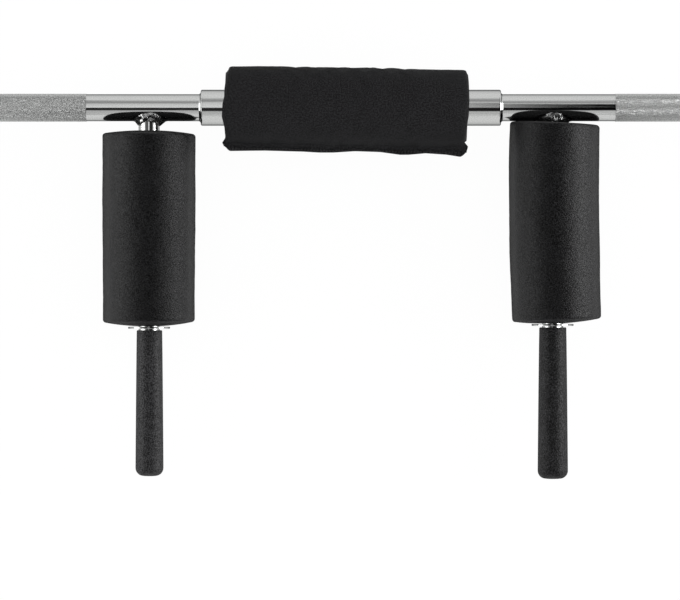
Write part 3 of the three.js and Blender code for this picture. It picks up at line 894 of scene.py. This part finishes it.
class MakeArms(bpy.types.Operator):
    """Make the two arms with their weld beads, and the stop washers on them"""

    bl_idname = "squatbar.make_arms"
    bl_label = "Arms"

    def execute(self, context):
        sizes, colours = context.scene.bar_steel, context.scene.bar_finish
        chrome, weld = polished_chrome(colours), plated_weld(colours)
        for name, side in SIDES.items():
            arm = self.tube(name, side, sizes, chrome)
            settle(arm, "bar", "chrome", f"{name}_arm")
            settle(self.bead(name, side, sizes, weld), "bar", "chrome")
            start, end = reach(f"{name}_stop_washer", axis=1)
            corners = ring_corners(start, end, sizes.arm_diameter / 2, sizes.stop_diameter / 2, FINE_EDGE)
            washer = turned(f"{name}_stop_washer_polished", corners, arm_line(side), chrome, ring=True)
            settle(washer, "bar", "chrome", f"{name}_stop_washer")
        return {"FINISHED"}

    def tube(self, name, side, sizes, finish):
        """The arm, coped to the shaft: its foot lies sqrt(R^2 - (r sin t)^2) from the axis."""
        radius, shaft = sizes.arm_diameter / 2, sizes.shaft_diameter / 2
        end = reach(f"{name}_arm", axis=1)[1]
        turn = np.linspace(0, 2 * np.pi, ARM_SIDES + 1)
        foot = np.sqrt(shaft**2 - (radius * np.sin(turn)) ** 2) - FIT
        depth = foot + (end - foot) * np.linspace(0, 1, ARM_RINGS)[:, None]
        wide = np.pad(np.full_like(depth, radius), ((1, 1), (0, 0)))
        depth = np.pad(depth, ((1, 1), (0, 0)), constant_values=((shaft / 2, end), (0, 0)))
        points = placed(arm_line(side), depth, wide * np.cos(turn), wide * np.sin(turn))
        uv = np.stack([depth, np.broadcast_to(turn * radius, depth.shape)], axis=-1)
        return grid_piece(f"{name}_arm_polished", points[:, :-1], finish, uv)

    def bead(self, name, side, sizes, finish):
        """The weld: round the foot, a hollow curve from a toe on the shaft to one on the arm.

        Each section is a quadratic curve, pulled towards the root at the arm's sides and fuller on
        top and below. Ripples and lumps lie across the bead, above and below, and fade at the
        arm's sides.
        """
        radius, shaft = sizes.arm_diameter / 2, sizes.shaft_diameter / 2
        turn = np.linspace(0, 2 * np.pi, WELD_SIDES, endpoint=False)
        cosine, sine = np.cos(turn), np.sin(turn)
        ragged = 1 + 0.06 * np.sin(5 * turn + 1) + 0.04 * np.sin(11 * turn + side)
        foot = np.sqrt(shaft**2 - (radius * sine) ** 2)
        toe_turn = np.arcsin(radius * sine / shaft) + sizes.weld_round * ragged * sine / shaft
        toe_along = (radius + (sizes.weld_along + sizes.weld_lean * cosine) * ragged) * cosine
        toe = np.stack([toe_along, shaft * np.cos(toe_turn), shaft * np.sin(toe_turn)], axis=-1)
        root = np.stack([radius * cosine, foot, radius * sine], axis=-1)
        top = np.stack([radius * cosine, foot + sizes.weld_up * ragged, radius * sine], axis=-1)
        outward = (toe + top) / 2 - root
        hollow = root + (0.3 + 1.1 * sine**4)[:, None] * outward
        outward = outward / np.linalg.norm(outward, axis=-1, keepdims=True)
        share = np.linspace(0, 1, WELD_RINGS)[:, None, None]
        face = (1 - share) ** 2 * toe + 2 * share * (1 - share) * hollow + share**2 * top
        share = share[..., 0]
        middle = np.sin(np.pi * share)
        ripple = np.sqrt(0.5 + 0.5 * np.sin(WELD_RIPPLES * (turn - 0.5 * (share - 0.5) ** 2))) * middle**0.8
        lump = waves(turn * radius, WELD_WIDTH * share, WELD_SEED + side, *WELD_LUMPS) * middle**0.6
        rough = (sizes.weld_ripple * ripple + sizes.weld_lump * lump) * np.abs(sine)
        face = face + rough[..., None] * outward
        # The first and the last row lie inside the shaft and the arm
        inner_toe = toe * [0.96, 0.93, 0.93]
        inner_top = top - 0.06 * root * [1, 0, 1]
        across, along, up = np.moveaxis(np.concatenate([inner_toe[None], face, inner_top[None]]), -1, 0)
        across_weld, round_weld = WELD_TEXTURE
        uv = pairs(np.linspace(0, across_weld, len(along) + 1), np.linspace(0, round_weld, WELD_SIDES + 1))
        points = placed(arm_line(side), along, across, up)
        return grid_piece(f"{name}_arm_weld", points, finish, uv, along_closed=True, sharp=1.2)


class MakeRollers(bpy.types.Operator):
    """Make the two foam rollers that turn on the arms"""

    bl_idname = "squatbar.make_rollers"
    bl_label = "Rollers"

    def execute(self, context):
        for name, side in SIDES.items():
            roller = self.roller(name, side, context)
            settle(roller, f"{name}_roller", "skinned_foam", f"{name}_roller")
        return {"FINISHED"}

    def roller(self, name, side, context):
        """A roll of foam: its outline turned round the arm, then made a little uneven.

        The outline's ends swell by dome x (1 - (r / R)^2.2). Away from the bore, its girth and its
        place sideways follow smooth lines along the roll, because the bore was cut a little off
        the middle, and each end is cut at a slant: slant x (r / R) x cos t.
        """
        sizes, form = context.scene.bar_foam, ROLLER_FORM[name]
        radius, mouth = sizes.roller_diameter / 2, sizes.mouth_diameter / 2
        bore = context.scene.bar_steel.arm_diameter / 2 + FIT
        near_dome, far_dome = (sizes.roller_dome * share for share in form["domes"])
        start, end = reach(f"{name}_roller", axis=1)
        start = start - form["nearer"]
        spread = np.linspace(0, 1, 9)[:-2, None]
        near = mouth + (radius - mouth) * spread
        far = bore + (radius - bore) * spread[::-1]
        corners = [
            (start + sizes.mouth_depth, bore),
            (start + MOUTH_CHAMFER[0], mouth - MOUTH_CHAMFER[1]),
            *np.concatenate([start + near_dome * (near / radius) ** 2.2, near], axis=1),
            (start + near_dome, radius, sizes.roller_edge),
            (end - far_dome, radius, sizes.roller_edge),
            *np.concatenate([end - far_dome * (far / radius) ** 2.2, far], axis=1),
        ]
        outline = rounded(corners, 6)
        # More points along the outer wall and along the bore, for the wall's smooth lines
        longest = np.argmax(np.diff(outline[:, 0])) + 1
        share = np.linspace(0, 1, 42)[1:-1, None]
        wall = outline[longest - 1] + (outline[longest] - outline[longest - 1]) * share
        inside = np.linspace(end - 0.002, start + sizes.mouth_depth + 0.002, 6)[:, None]
        inside = np.concatenate([inside, 0 * inside + bore], axis=1)
        outline = np.concatenate([outline[:longest], wall, outline[longest:], inside])
        turn = np.linspace(0, 2 * np.pi, ROUND_SIDES + 1)
        along, wide = (part[:, None] + 0 * turn for part in outline.T)
        down = np.clip((along - start) / (end - start), 0, 1)
        outer = np.clip((wide - bore) / (radius - bore), 0, 1)
        near_slant, far_slant = form["slants"]
        slant = (near_slant + (far_slant - near_slant) * down) * outer * np.cos(turn)
        uneven = 0.0
        for (height, seed, *lengths), round_way in zip(ROLLER_UNEVEN, (np.sin(turn), np.cos(turn))):
            uneven = uneven + height * waves(along, radius * round_way, seed + side, *lengths)
        wide = wide * (1 + (smooth_line(form["girths"], down) - 1) * outer) + uneven * outer
        lean = smooth_line(form["leans"], down) * outer
        points = placed(arm_line(side), along + slant, wide * np.cos(turn) + lean, wide * np.sin(turn))
        foam = skinned_foam(context.scene.bar_finish)
        return grid_piece(f"{name}_roller_foam", points[:, :-1], foam, along_closed=True, sharp=0.9)


class MakeGrips(bpy.types.Operator):
    """Make the two rubber grips"""

    bl_idname = "squatbar.make_grips"
    bl_label = "Grips"

    def execute(self, context):
        sizes = context.scene.bar_foam
        bore = context.scene.bar_steel.arm_diameter / 2 + FIT
        rubber = moulded_rubber(context.scene.bar_finish)
        for name, side in SIDES.items():
            start, end = reach(f"{name}_grip", axis=1)
            mouth_share, tip_share, lean, painted_light = GRIP_FORM[name]
            mouth, tip = sizes.grip_mouth / 2 * mouth_share, sizes.grip_end / 2 * tip_share
            shares = np.linspace(0, 1, 12)[1:-1]
            corners = [
                (end - GRIP_WALL, 0.0),
                (end - GRIP_WALL, bore),
                (start, bore, HAIR_EDGE),
                (start, mouth, GRIP_EDGE),
                *[(start + (end - start) * s, mouth + (tip - mouth) * s**0.8) for s in shares],
                (end - sizes.grip_dome, tip, sizes.grip_round),
                *[(end - sizes.grip_dome * s**2, tip * s) for s in (0.36, 0.24, 0.12)],
                (end, 0.0),
            ]
            origin, along, across = arm_line(side)
            # The painted light mark darkens the grip's colour and shine: painted shade
            line, marks = (origin + lean * across, along, across), {"painted_light": painted_light}
            grip = turned(f"{name}_grip_rubber", corners, line, rubber, steps=8, sharp=0.9, marks=marks)
            settle(grip, "bar", "grip_rubber", f"{name}_grip")
        return {"FINISHED"}


class MakeNeckPad(bpy.types.Operator):
    """Make the neck pad: its foam, its cover with two lips, the tapes between them and the seams"""

    bl_idname = "squatbar.make_neck_pad"
    bl_label = "Neck pad"

    def execute(self, context):
        sizes, colours = context.scene.bar_pad, context.scene.bar_finish
        cover = self.cover(sizes, woven_cover(colours), context)
        settle(cover, "neck_pad", "cover_fabric", "neck_pad_cover")
        bore = context.scene.bar_steel.tube_diameter / 2 + FIT
        foam = self.foam(sizes, bore, open_foam(colours))
        settle(foam, "neck_pad", "padding_foam", "neck_pad_foam")
        for name, side in (("hook", 1), ("loop", -1)):
            tape = self.tape(name, side, sizes, hook_and_loop(colours))
            settle(tape, "neck_pad", "tape_fabric", f"neck_pad_{name}_tape")
        settle(self.seams(sizes, sewing_thread(colours)), "neck_pad", "cover_fabric")
        return {"FINISHED"}

    def place(self, local, sizes):
        """Turns points (along X, towards -Y, up) askew about the pad's middle, into the frame."""
        along, ahead, up = np.moveaxis(local, -1, 0)
        x = along * np.cos(sizes.tilt) + ahead * np.sin(sizes.tilt)
        y = along * np.sin(sizes.tilt) - ahead * np.cos(sizes.tilt)
        return np.stack([PAD_MIDDLE + x, AXIS[1] + y, AXIS[2] + up], axis=-1)

    def section(self, inset, sizes):
        """The cover's section: out of a lip, round a crease, round the roll and back to the other.

        Returns how far each column lies along the lip (1 at its edge), and the points of a section
        of the given inset: lips at a fixed height, creases and roll as arcs that touch each other.
        """
        radius, crease = sizes.diameter / 2, sizes.crease
        centre_up = LIP_FACE + crease
        centre_ahead = np.sqrt((radius - sizes.pull + crease) ** 2 - centre_up**2)
        from_seam = np.arctan2(centre_up, centre_ahead)
        out = np.linspace(1, 0, LIP_COLUMNS)
        lip_ahead = centre_ahead + (LIP_REACH - centre_ahead) * out
        lip_up = np.full(LIP_COLUMNS, LIP_FACE - inset)
        turn = np.linspace(-np.pi / 2, -np.pi + from_seam, 9)[1:]
        bend_ahead = centre_ahead + (crease + inset) * np.cos(turn)
        bend_up = centre_up + (crease + inset) * np.sin(turn)
        turn = np.linspace(from_seam, 2 * np.pi - from_seam, 145)[1:-1]
        near = np.minimum(turn, 2 * np.pi - turn) - from_seam
        rolled = radius - inset - sizes.pull * np.exp(-((near / 0.45) ** 2))
        ahead = [lip_ahead, bend_ahead, rolled * np.cos(turn), bend_ahead[::-1], lip_ahead[::-1]]
        up = [lip_up, bend_up, rolled * np.sin(turn), -bend_up[::-1], -lip_up[::-1]]
        ahead, up = np.concatenate(ahead), np.concatenate(up)
        rest = np.zeros(len(ahead) - 2 * LIP_COLUMNS)
        return np.concatenate([out, rest, out[::-1]]), ahead, up

    def shell(self, stations, drawn, inset, sizes):
        """The cover's skin at an inset: its section at each station, with folds and uneven ends.

        The roll is drawn in at its ends, the lips' edges wander and are cut round at their ends,
        and small folds run off the seam and fade round the roll.
        """
        lip, ahead, up = self.section(inset, sizes)
        along = np.broadcast_to(stations[:, None], (len(stations), len(ahead)))
        outer = np.abs(along) / PAD_HALF
        distance, turn = np.hypot(ahead, up), np.arctan2(up, ahead)
        seam = np.exp(-((np.abs(turn) / 0.55) ** 2))
        folds = waves(along, distance * np.abs(turn) * 0.25, *COVER_FOLDS)
        slow = waves(along, distance * turn, *COVER_SLOW)
        fine = waves(along, distance * turn, *COVER_FINE)
        lift = sizes.wrinkle * (1.1 * folds * seam + 0.55 * slow + 0.12 * fine) * (1 - lip)
        shrink = 1 - (drawn[:, None] * (1 - lip) - lift) / distance
        flutter = waves(along, 0 * along, *LIP_FLUTTER) * lip**2 * LIP_FLUTTER_HEIGHT
        up = up * np.where(lip > 0, 1, shrink) + flutter
        edge = np.interp(along, *EDGE_LINE) - LIP_REACH
        cut = LIP_CUT * np.clip((outer - 0.955) / 0.045, 0, 1) ** 2
        ahead = ahead * shrink + lip * (edge - cut)
        ends = np.where(along < 0, np.interp(ahead, *LEFT_END), np.interp(ahead, *RIGHT_END))
        spread = np.clip((outer - 0.6) / 0.4, 0, 1) ** 2
        return np.stack([along + ends * spread, ahead, up], axis=-1)

    def stations(self, sizes):
        """Stations along the pad, and how far the cover is drawn in at each.

        It is drawn in by a crown, crown x (x / half length)^2, and round its ends.
        """
        straight = PAD_HALF - sizes.end_round
        body = np.linspace(0, straight, 60)
        turn = np.linspace(0, np.pi / 2, 9)[1:]
        along = np.concatenate([body, straight + sizes.end_round * np.sin(turn)])
        crown = PAD_CROWN * (along / PAD_HALF) ** 2
        drawn = crown + np.concatenate([0 * body, sizes.draw_in * (1 - np.cos(turn))])
        return np.concatenate([-along[:0:-1], along]), np.concatenate([drawn[:0:-1], drawn])

    def puckers(self, skin, sizes, context):
        """How far each point of the cover's outer skin moves in a short cloth simulation.

        Every second row and column becomes a sheet of cloth, cut a little too large, which the
        pressure of the foam pushes out. It is held at the hems and the lips, so it puckers there.
        The rows and columns between follow their neighbours: (-a + 9 b + 9 c - d) / 16.
        """
        cut = skin[::2, ::2]
        rows, columns = cut.shape[:2]
        corner_rows, corner_columns = grid_faces(rows, columns, False, False)
        faces = corner_rows * columns + corner_columns
        mesh = bpy.data.meshes.new("cover cut")
        mesh.from_pydata(cut.reshape(-1, 3).tolist(), [], faces.tolist())
        sheet = bpy.data.objects.new("cover cut", mesh)
        context.scene.collection.objects.link(sheet)
        number = np.arange(rows * columns).reshape(rows, columns)
        lip = self.section(0.0, sizes)[0][::2] > 0
        firm = np.unique(np.concatenate([number[[0, 1, -2, -1]].ravel(), number[:, lip].ravel()]))
        held = sheet.vertex_groups.new(name="held")
        held.add(number.ravel().tolist(), PUCKER_HOLD, "REPLACE")
        held.add(firm.tolist(), 1.0, "REPLACE")
        cloth = sheet.modifiers.new("cloth", "CLOTH")
        for name, value in CLOTH.items():
            setattr(cloth.settings, name, value)
        cloth.settings.shrink_min = -sizes.slack
        cloth.settings.effector_weights.gravity = 0.0
        cloth.collision_settings.use_collision = False
        cloth.point_cache.frame_start, cloth.point_cache.frame_end = 1, PUCKER_FRAMES
        for frame_number in range(1, PUCKER_FRAMES + 1):
            context.scene.frame_set(frame_number)
        after = np.empty(cut.size, np.float32)
        sheet.evaluated_get(context.evaluated_depsgraph_get()).data.vertices.foreach_get("co", after)
        move = after.reshape(cut.shape) - cut
        bpy.data.objects.remove(sheet)
        bpy.data.meshes.remove(mesh)
        context.scene.frame_set(1)
        length = np.linalg.norm(move, axis=-1, keepdims=True)
        move = move * np.minimum(1, PUCKER_CAP / np.maximum(length, 1e-9))
        for axis in (0, 1):
            move = np.moveaxis(move, axis, 0)
            wide = np.concatenate([move[:1], move, move[-1:]])
            finer = np.empty((2 * len(move) - 1, *move.shape[1:]))
            finer[::2] = move
            finer[1::2] = (-wide[:-3] + 9 * wide[1:-2] + 9 * wide[2:-1] - wide[3:]) / 16
            move = np.moveaxis(finer, 0, axis)
        return move

    def cover(self, sizes, finish, context):
        """The cover: an outer and an inner skin that meet at the lips' edges and the hems."""
        along, drawn = self.stations(sizes)
        outer = self.shell(along, drawn, 0.0, sizes)
        inner = self.shell(along, drawn, sizes.cover_thickness, sizes)
        move = self.puckers(outer, sizes, context)
        outer, inner = outer + move, inner + move
        hem = (outer + inner) / 2
        edge = hem[:, [0, -1]] + [0, sizes.cover_thickness / 2, 0]
        loop = np.concatenate([edge[:, :1], outer, edge[:, 1:], inner[:, ::-1]], axis=1)
        first, last = (
            np.concatenate([edge[row, :1], hem[row], edge[row, 1:], hem[row, ::-1]])[None]
            + [push * sizes.cover_thickness / 2, 0, 0]
            for row, push in ((0, -1), (-1, 1))
        )
        loop = np.concatenate([first, loop, last])
        path = walk(*self.section(0.0, sizes)[1:])
        path = np.concatenate([path[:1], path, path[-1:], path[::-1], path[:1]])
        uv = pairs(np.pad(along, 1, mode="edge"), path)
        return grid_piece("neck_pad_cover_fabric", self.place(loop, sizes), finish, uv, sharp=1.2)

    def foam(self, sizes, bore, finish):
        """The foam roll inside: it follows the cover outside and the centre tube inside."""
        outer = sizes.diameter / 2 - sizes.cover_thickness - FIT
        end = PAD_HALF - COVER_OVER_FOAM
        hem = outer - sizes.draw_in - PAD_CROWN
        turn = np.linspace(0, 2 * np.pi, PADDING_SIDES, endpoint=False)
        near = np.minimum(turn, 2 * np.pi - turn)
        pull = sizes.pull * np.exp(-((near / 0.5) ** 2)) + FOAM_BELOW
        half = [
            (end - FOAM_BEVEL[0], outer - FOAM_BEVEL[1]),
            (end, hem),
            (end + FOAM_BULGE, (bore + hem) / 2),
            (end, bore, FOAM_EDGE),
        ]
        outline = rounded(mirrored(half), 4)
        share = np.clip((outline[:, 1:] - bore) / (outer - bore), 0, 1)
        wide = outline[:, 1:] - pull * share
        along = outline[:, :1] + 0 * wide
        ahead = wide * np.cos(turn) - along * np.sin(sizes.tilt) * share
        points = np.stack([PAD_MIDDLE + along, AXIS[1] - ahead, AXIS[2] + wide * np.sin(turn)], axis=-1)
        return grid_piece("neck_pad_padding", points, finish, along_closed=True, sharp=1.0)

    def tape(self, name, side, sizes, finish):
        """One tape between the lips: a flat strip with rounded edges that follows their line."""
        along = np.linspace(-1, 1, 90)[:, None] * (PAD_HALF - TAPE_FROM_END)
        far = np.interp(along, *EDGE_LINE) - TAPE_INSET
        half = TAPE_THICKNESS / 2
        turn = np.linspace(-np.pi / 2, np.pi / 2, 5)
        out = far - half + half * np.cos(turn)
        back = TAPE_NEAR + 0 * along + half - half * np.cos(turn)
        ahead = np.concatenate([out, back], axis=1)
        up = side * (FIT / 2 + half) + half * np.concatenate([np.sin(turn), -np.sin(turn)])
        grid = np.stack([along + 0 * ahead, ahead, up + 0 * ahead], axis=-1)
        cap = grid.mean(axis=1, keepdims=True) + 0 * grid
        grid = np.concatenate([cap[:1], grid, cap[-1:]])
        return grid_piece(f"neck_pad_{name}_tape_pile", self.place(grid, sizes), finish, sharp=1.0)

    def seams(self, sizes, finish):
        """The seams: each stitch a small spindle that lies in a row on the cover.

        Two rows run along each lip. A stitch points along its row, and its own frame comes from
        the row's direction and from the cover's outward one.
        """
        skin = self.shell(*self.stations(sizes), 0.0, sizes)
        step = sizes.stitch * STITCH_STEP
        middles, forwards, aways = [], [], []
        for share in STITCH_ROWS:
            inland = share * (LIP_COLUMNS - 1)
            for column in (inland, skin.shape[1] - 1 - inland):
                low = int(column)
                line = (skin[:, low] + (skin[:, low + 1] - skin[:, low]) * (column - low))[4:-4]
                walked = walk(*line.T)
                at = np.arange(step, walked[-1] - step, step)
                behind, here, ahead = (
                    np.stack([np.interp(at + shift, walked, part) for part in line.T], axis=1)
                    for shift in (-STITCH_LOOK, 0, STITCH_LOOK)
                )
                forward = ahead - behind
                middles.append(here)
                forwards.append(forward / np.linalg.norm(forward, axis=1, keepdims=True))
                aways.append(np.full_like(forward, np.sign(line[:, 2].mean()) * Z))
        middle, forward, away = (np.concatenate(part)[:, None] for part in (middles, forwards, aways))
        across = np.cross(forward, away)
        share = np.linspace(-1, 1, STITCH_RINGS)[:, None]
        turn = np.linspace(0, 2 * np.pi, STITCH_SIDES, endpoint=False)
        wide = np.sqrt(np.clip(1 - share**2, 0, 1)) * sizes.thread / 2
        dip = -0.25 * sizes.thread * (share**2 + 0 * turn)
        length, side, rise = (
            part.ravel()[:, None]
            for part in (share * sizes.stitch / 2 + 0 * turn, wide * np.cos(turn), wide * np.sin(turn) + dip)
        )
        points = middle + length * forward + side * across + rise * away
        corner_rows, corner_columns = grid_faces(STITCH_RINGS, STITCH_SIDES, False, True)
        one = corner_rows * STITCH_SIDES + corner_columns % STITCH_SIDES
        faces = one + (np.arange(len(points)) * points.shape[1])[:, None, None]
        points = self.place(points, sizes).reshape(-1, 3)
        return mesh_piece("neck_pad_stitching", points, faces.reshape(-1, 4), finish)


class MakeSleeves(bpy.types.Operator):
    """Make the weight sleeves with their collars, end caps and bushings"""

    bl_idname = "squatbar.make_sleeves"
    bl_label = "Sleeves"

    def execute(self, context):
        sizes, colours = context.scene.bar_steel, context.scene.bar_finish
        chrome, bronze = polished_chrome(colours), sintered_bronze(colours)
        black, plastic = blackened_steel(colours), moulded_abs(colours)
        bore, journal = sizes.sleeve_bore / 2, sizes.journal_diameter / 2 + FIT
        seat = self.radius("right_sleeve") - COLLAR_LAP
        for name, side in SIDES.items():
            body, line = f"{name}_sleeve", shaft_line(side)
            # Each ring's name, slot, finish, inner radius, rounding and body
            rings = [
                ("sleeve", "chrome", chrome, bore, SLEEVE_ROUND, body),
                ("collar", "chrome", chrome, seat, sizes.collar_round, body),
                ("inner_bushing", "bronze", bronze, journal, SOFT_EDGE, body),
                ("outer_bushing", "bronze", bronze, journal, SOFT_EDGE, body),
                ("thrust_washer", "bronze", bronze, journal, HAIR_EDGE, "bar"),
            ]
            for part, slot, finish, inside, edge, carrier in rings:
                node = f"{name}_{part}"
                corners = ring_corners(*reach(node), inside, self.radius(node), edge)
                piece = turned(f"{node}_turned", corners, line, finish, ring=True, sides=SLEEVE_SIDES)
                settle(piece, carrier, slot, node)
            start, end = reach(f"{name}_end_cap")
            rim, plug, flange = self.radius(f"{name}_end_cap"), bore - FIT, reach(body)[1] + FIT
            corners = [
                (start, 0.0),
                (start, plug, SOFT_EDGE),
                (flange, plug),
                (flange, rim, CREST_EDGE),
                (end, rim, CAP_ROUND),
                (end, rim - CAP_RIM, FINE_EDGE),
                (end - CAP_DISH, rim - CAP_SLOPE, FINE_EDGE),
                (end - CAP_DISH, 0.0),
            ]
            cap = turned(f"{name}_end_cap_moulded", corners, line, plastic, sides=SLEEVE_SIDES)
            settle(cap, body, "black_plastic", f"{name}_end_cap")
            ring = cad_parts[f"{name}_snap_ring"]
            ring.data.materials.clear()
            ring.data.materials.append(black)
        return {"FINISHED"}

    def radius(self, node):
        """The outer radius of a turned node on the shaft, from its box."""
        box = np.array(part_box(node))
        return float(box[1, 1] - box[0, 1]) / 2


class SetStage(bpy.types.Operator):
    """Set the floor, the studio ceiling, the lights and the camera"""

    bl_idname = "squatbar.set_stage"
    bl_label = "Stage"

    def execute(self, context):
        self.floor(context)
        self.ceiling()
        self.lamps(context)
        self.world(context)
        self.camera(context)
        return {"FINISHED"}

    def plane(self, name, middle, span, material):
        """A flat square staged panel, facing up or down, about its middle."""
        corners = np.array([[-1, -1, 0], [1, -1, 0], [1, 1, 0], [-1, 1, 0]]) * (span / 2)
        mesh = bpy.data.meshes.new(name)
        mesh.from_pydata((corners + middle).tolist(), [], [(0, 1, 2, 3)])
        mesh.materials.append(material)
        panel = bpy.data.objects.new(name, mesh)
        bpy.context.scene.collection.objects.link(panel)
        return panel

    def seen(self, add):
        """1 for what the camera, metal or glass sees, and 0 for what only lights something."""
        path = add("LightPath").node.outputs
        direct = add("Math", path["Is Camera Ray"], path["Is Glossy Ray"], operation="MAXIMUM")
        return add("Math", direct, path["Is Transmission Ray"], operation="MAXIMUM")

    def floor(self, context):
        """A pale floor, which the camera, metal and glass see as white with the object's shadow."""
        made, add = finish_of("pale studio floor")
        share = add("Math", self.seen(add), FLOOR_WHITE, operation="MULTIPLY")
        matt = add("BsdfDiffuse", Color=opaque(context.scene.bar_finish.floor))
        white = add("Emission", Color=(1.0, 1.0, 1.0, 1.0), Strength=1.0)
        add("OutputMaterial", Surface=add("MixShader", share, matt, white))
        self.plane("studio_floor", [0.0, 0.0, FLOOR_LEVEL], FLOOR_SPAN, made)

    def ramp(self, add, place, middle, height, lights):
        """Light along one direction of the ceiling, from angles from straight up and their lights."""
        wide = CEILING_SLOPE * height
        share = add("MapRange", place, float(middle - wide), float(middle + wide))
        light = add("ValToRGB", Fac=share)
        stops = light.node.color_ramp.elements
        for i, (angle, level) in enumerate(zip(*lights)):
            at = 0.5 + np.tan(np.radians(angle)) / (2 * CEILING_SLOPE)
            stop = stops[i] if i < 2 else stops.new(at)
            stop.position = at
            stop.color = (level, level, level, 1.0)
        return light

    def ceiling(self):
        """The studio ceiling that shiny surfaces reflect: dark overhead, bright towards the walls.

        A bright lane runs over the bar towards +Y and -Y, broken by a dark strip just ahead of the
        bar and by a dark patch over its right end, where the rest of the lane is brighter.
        """
        made, add = finish_of("studio ceiling")
        place = add("SeparateXYZ", add("TexCoord", take="Object")).node.outputs
        height = CEILING - AXIS[2]
        lane = self.ramp(add, place["Y"], AXIS[1], height, LANE_LIGHT)
        around = self.ramp(add, place["X"], 0.0, height, SIDE_LIGHT)
        sideways = add("Math", place["X"], operation="ABSOLUTE")
        inside = add("MapRange", sideways, *LANE_EDGE, 1.0, 0.0, interpolation_type="SMOOTHSTEP")
        edges = [float(AXIS[1] + np.tan(np.radians(angle)) * height) for angle in PATCH_ANGLES]
        patch = add("MapRange", place["X"], *PATCH_START)
        ahead = add("MapRange", place["Y"], *edges[2:], 1.0, 0.0)
        behind = add("MapRange", place["Y"], *edges[:2])
        patch_share = add("Math", ahead, behind, operation="MULTIPLY")
        dimmed = add("Math", 1.0, patch, operation="SUBTRACT")
        raised = add("MapRange", place["X"], *RIGHT_START, 1.0, RIGHT_GAIN)
        gain = add("Mix", Factor=patch_share, A=raised, B=dimmed, data_type="FLOAT")
        lit = add("Math", lane, gain, operation="MULTIPLY")
        mixed = add("Mix", Factor=inside, A=around, B=lit, data_type="FLOAT")
        add("OutputMaterial", Surface=add("Emission", Strength=mixed))
        panel = self.plane("studio_ceiling", [0.0, AXIS[1], CEILING], 2 * CEILING_SLOPE * height, made)
        panel.visible_camera = False
        panel.visible_diffuse = False
        panel.visible_transmission = False
        panel.visible_shadow = False

    def lamps(self, context):
        """Soft boxes low down at the sides and in front, turned to the bar, which light the flanks."""
        for name, place, wide, high, power in SOFT_BOXES:
            lamp = bpy.data.lights.new(f"{name}_soft_box", "AREA")
            lamp.shape = "RECTANGLE"
            lamp.size, lamp.size_y = wide, high
            lamp.energy = power
            box = bpy.data.objects.new(f"{name}_soft_box", lamp)
            box.location = place
            box.rotation_euler = Vector(place).to_track_quat("Z", "Y").to_euler()
            box.visible_camera = False
            box.visible_glossy = name != "front"
            context.scene.collection.objects.link(box)

    def world(self, context):
        """An even white surround, which lights everything at a plain level."""
        world = bpy.data.worlds.new("white studio")
        add = emptied(world)
        level = add("MapRange", self.seen(add), 0.0, 1.0, WORLD_LEVEL, 1.0)
        add("OutputWorld", Surface=add("Background", Color=(1.0, 1.0, 1.0, 1.0), Strength=level))
        world.cycles.sampling_method = "NONE"
        context.scene.world = world
        context.scene.view_settings.view_transform = "Standard"

    def camera(self, context):
        """The camera, straight above, which sees the picture's width at the height of the axis."""
        camera = bpy.data.cameras.new("camera")
        camera.sensor_width = SENSOR_WIDTH
        camera.lens = camera.sensor_width * (CAMERA[2] - AXIS[2]) / PICTURE_WIDTH
        camera.clip_end = FARTHEST_SEEN
        eye = bpy.data.objects.new("camera", camera)
        eye.location = CAMERA
        context.scene.collection.objects.link(eye)
        context.scene.camera = eye


class BarPanel(bpy.types.Panel):
    """Lists the pieces of the bar and what can be changed"""

    bl_idname = "VIEW3D_PT_squat_bar"
    bl_label = "Squat bar"
    bl_space_type = "VIEW_3D"
    bl_region_type = "UI"
    bl_category = "Squat bar"

    def draw(self, context):
        for operator in OPERATORS:
            self.layout.operator(operator.bl_idname)
        for name, group in GROUPS.items():
            box = self.layout.box()
            box.label(text=group.__doc__)
            values = getattr(context.scene, name)
            for key in group.__annotations__:
                box.prop(values, key)


OPERATORS = [MakeShaft, MakeCentreTube, MakeArms, MakeRollers, MakeGrips, MakeNeckPad, MakeSleeves, SetStage]
CLASSES = [*GROUPS.values(), *OPERATORS, BarPanel]


def register():
    """Registers the classes and hangs the settings on the scene."""
    for made in CLASSES:
        bpy.utils.register_class(made)
    for name, group in GROUPS.items():
        setattr(bpy.types.Scene, name, PointerProperty(type=group))


def unregister():
    """Takes the settings and the classes away again."""
    for name in GROUPS:
        delattr(bpy.types.Scene, name)
    for made in reversed(CLASSES):
        bpy.utils.unregister_class(made)


def main():
    """Registers the add-on and makes every piece in turn."""
    register()
    for operator in OPERATORS:
        group, name = operator.bl_idname.split(".")
        getattr(getattr(bpy.ops, group), name)()


if __name__ == "__main__":
    main()
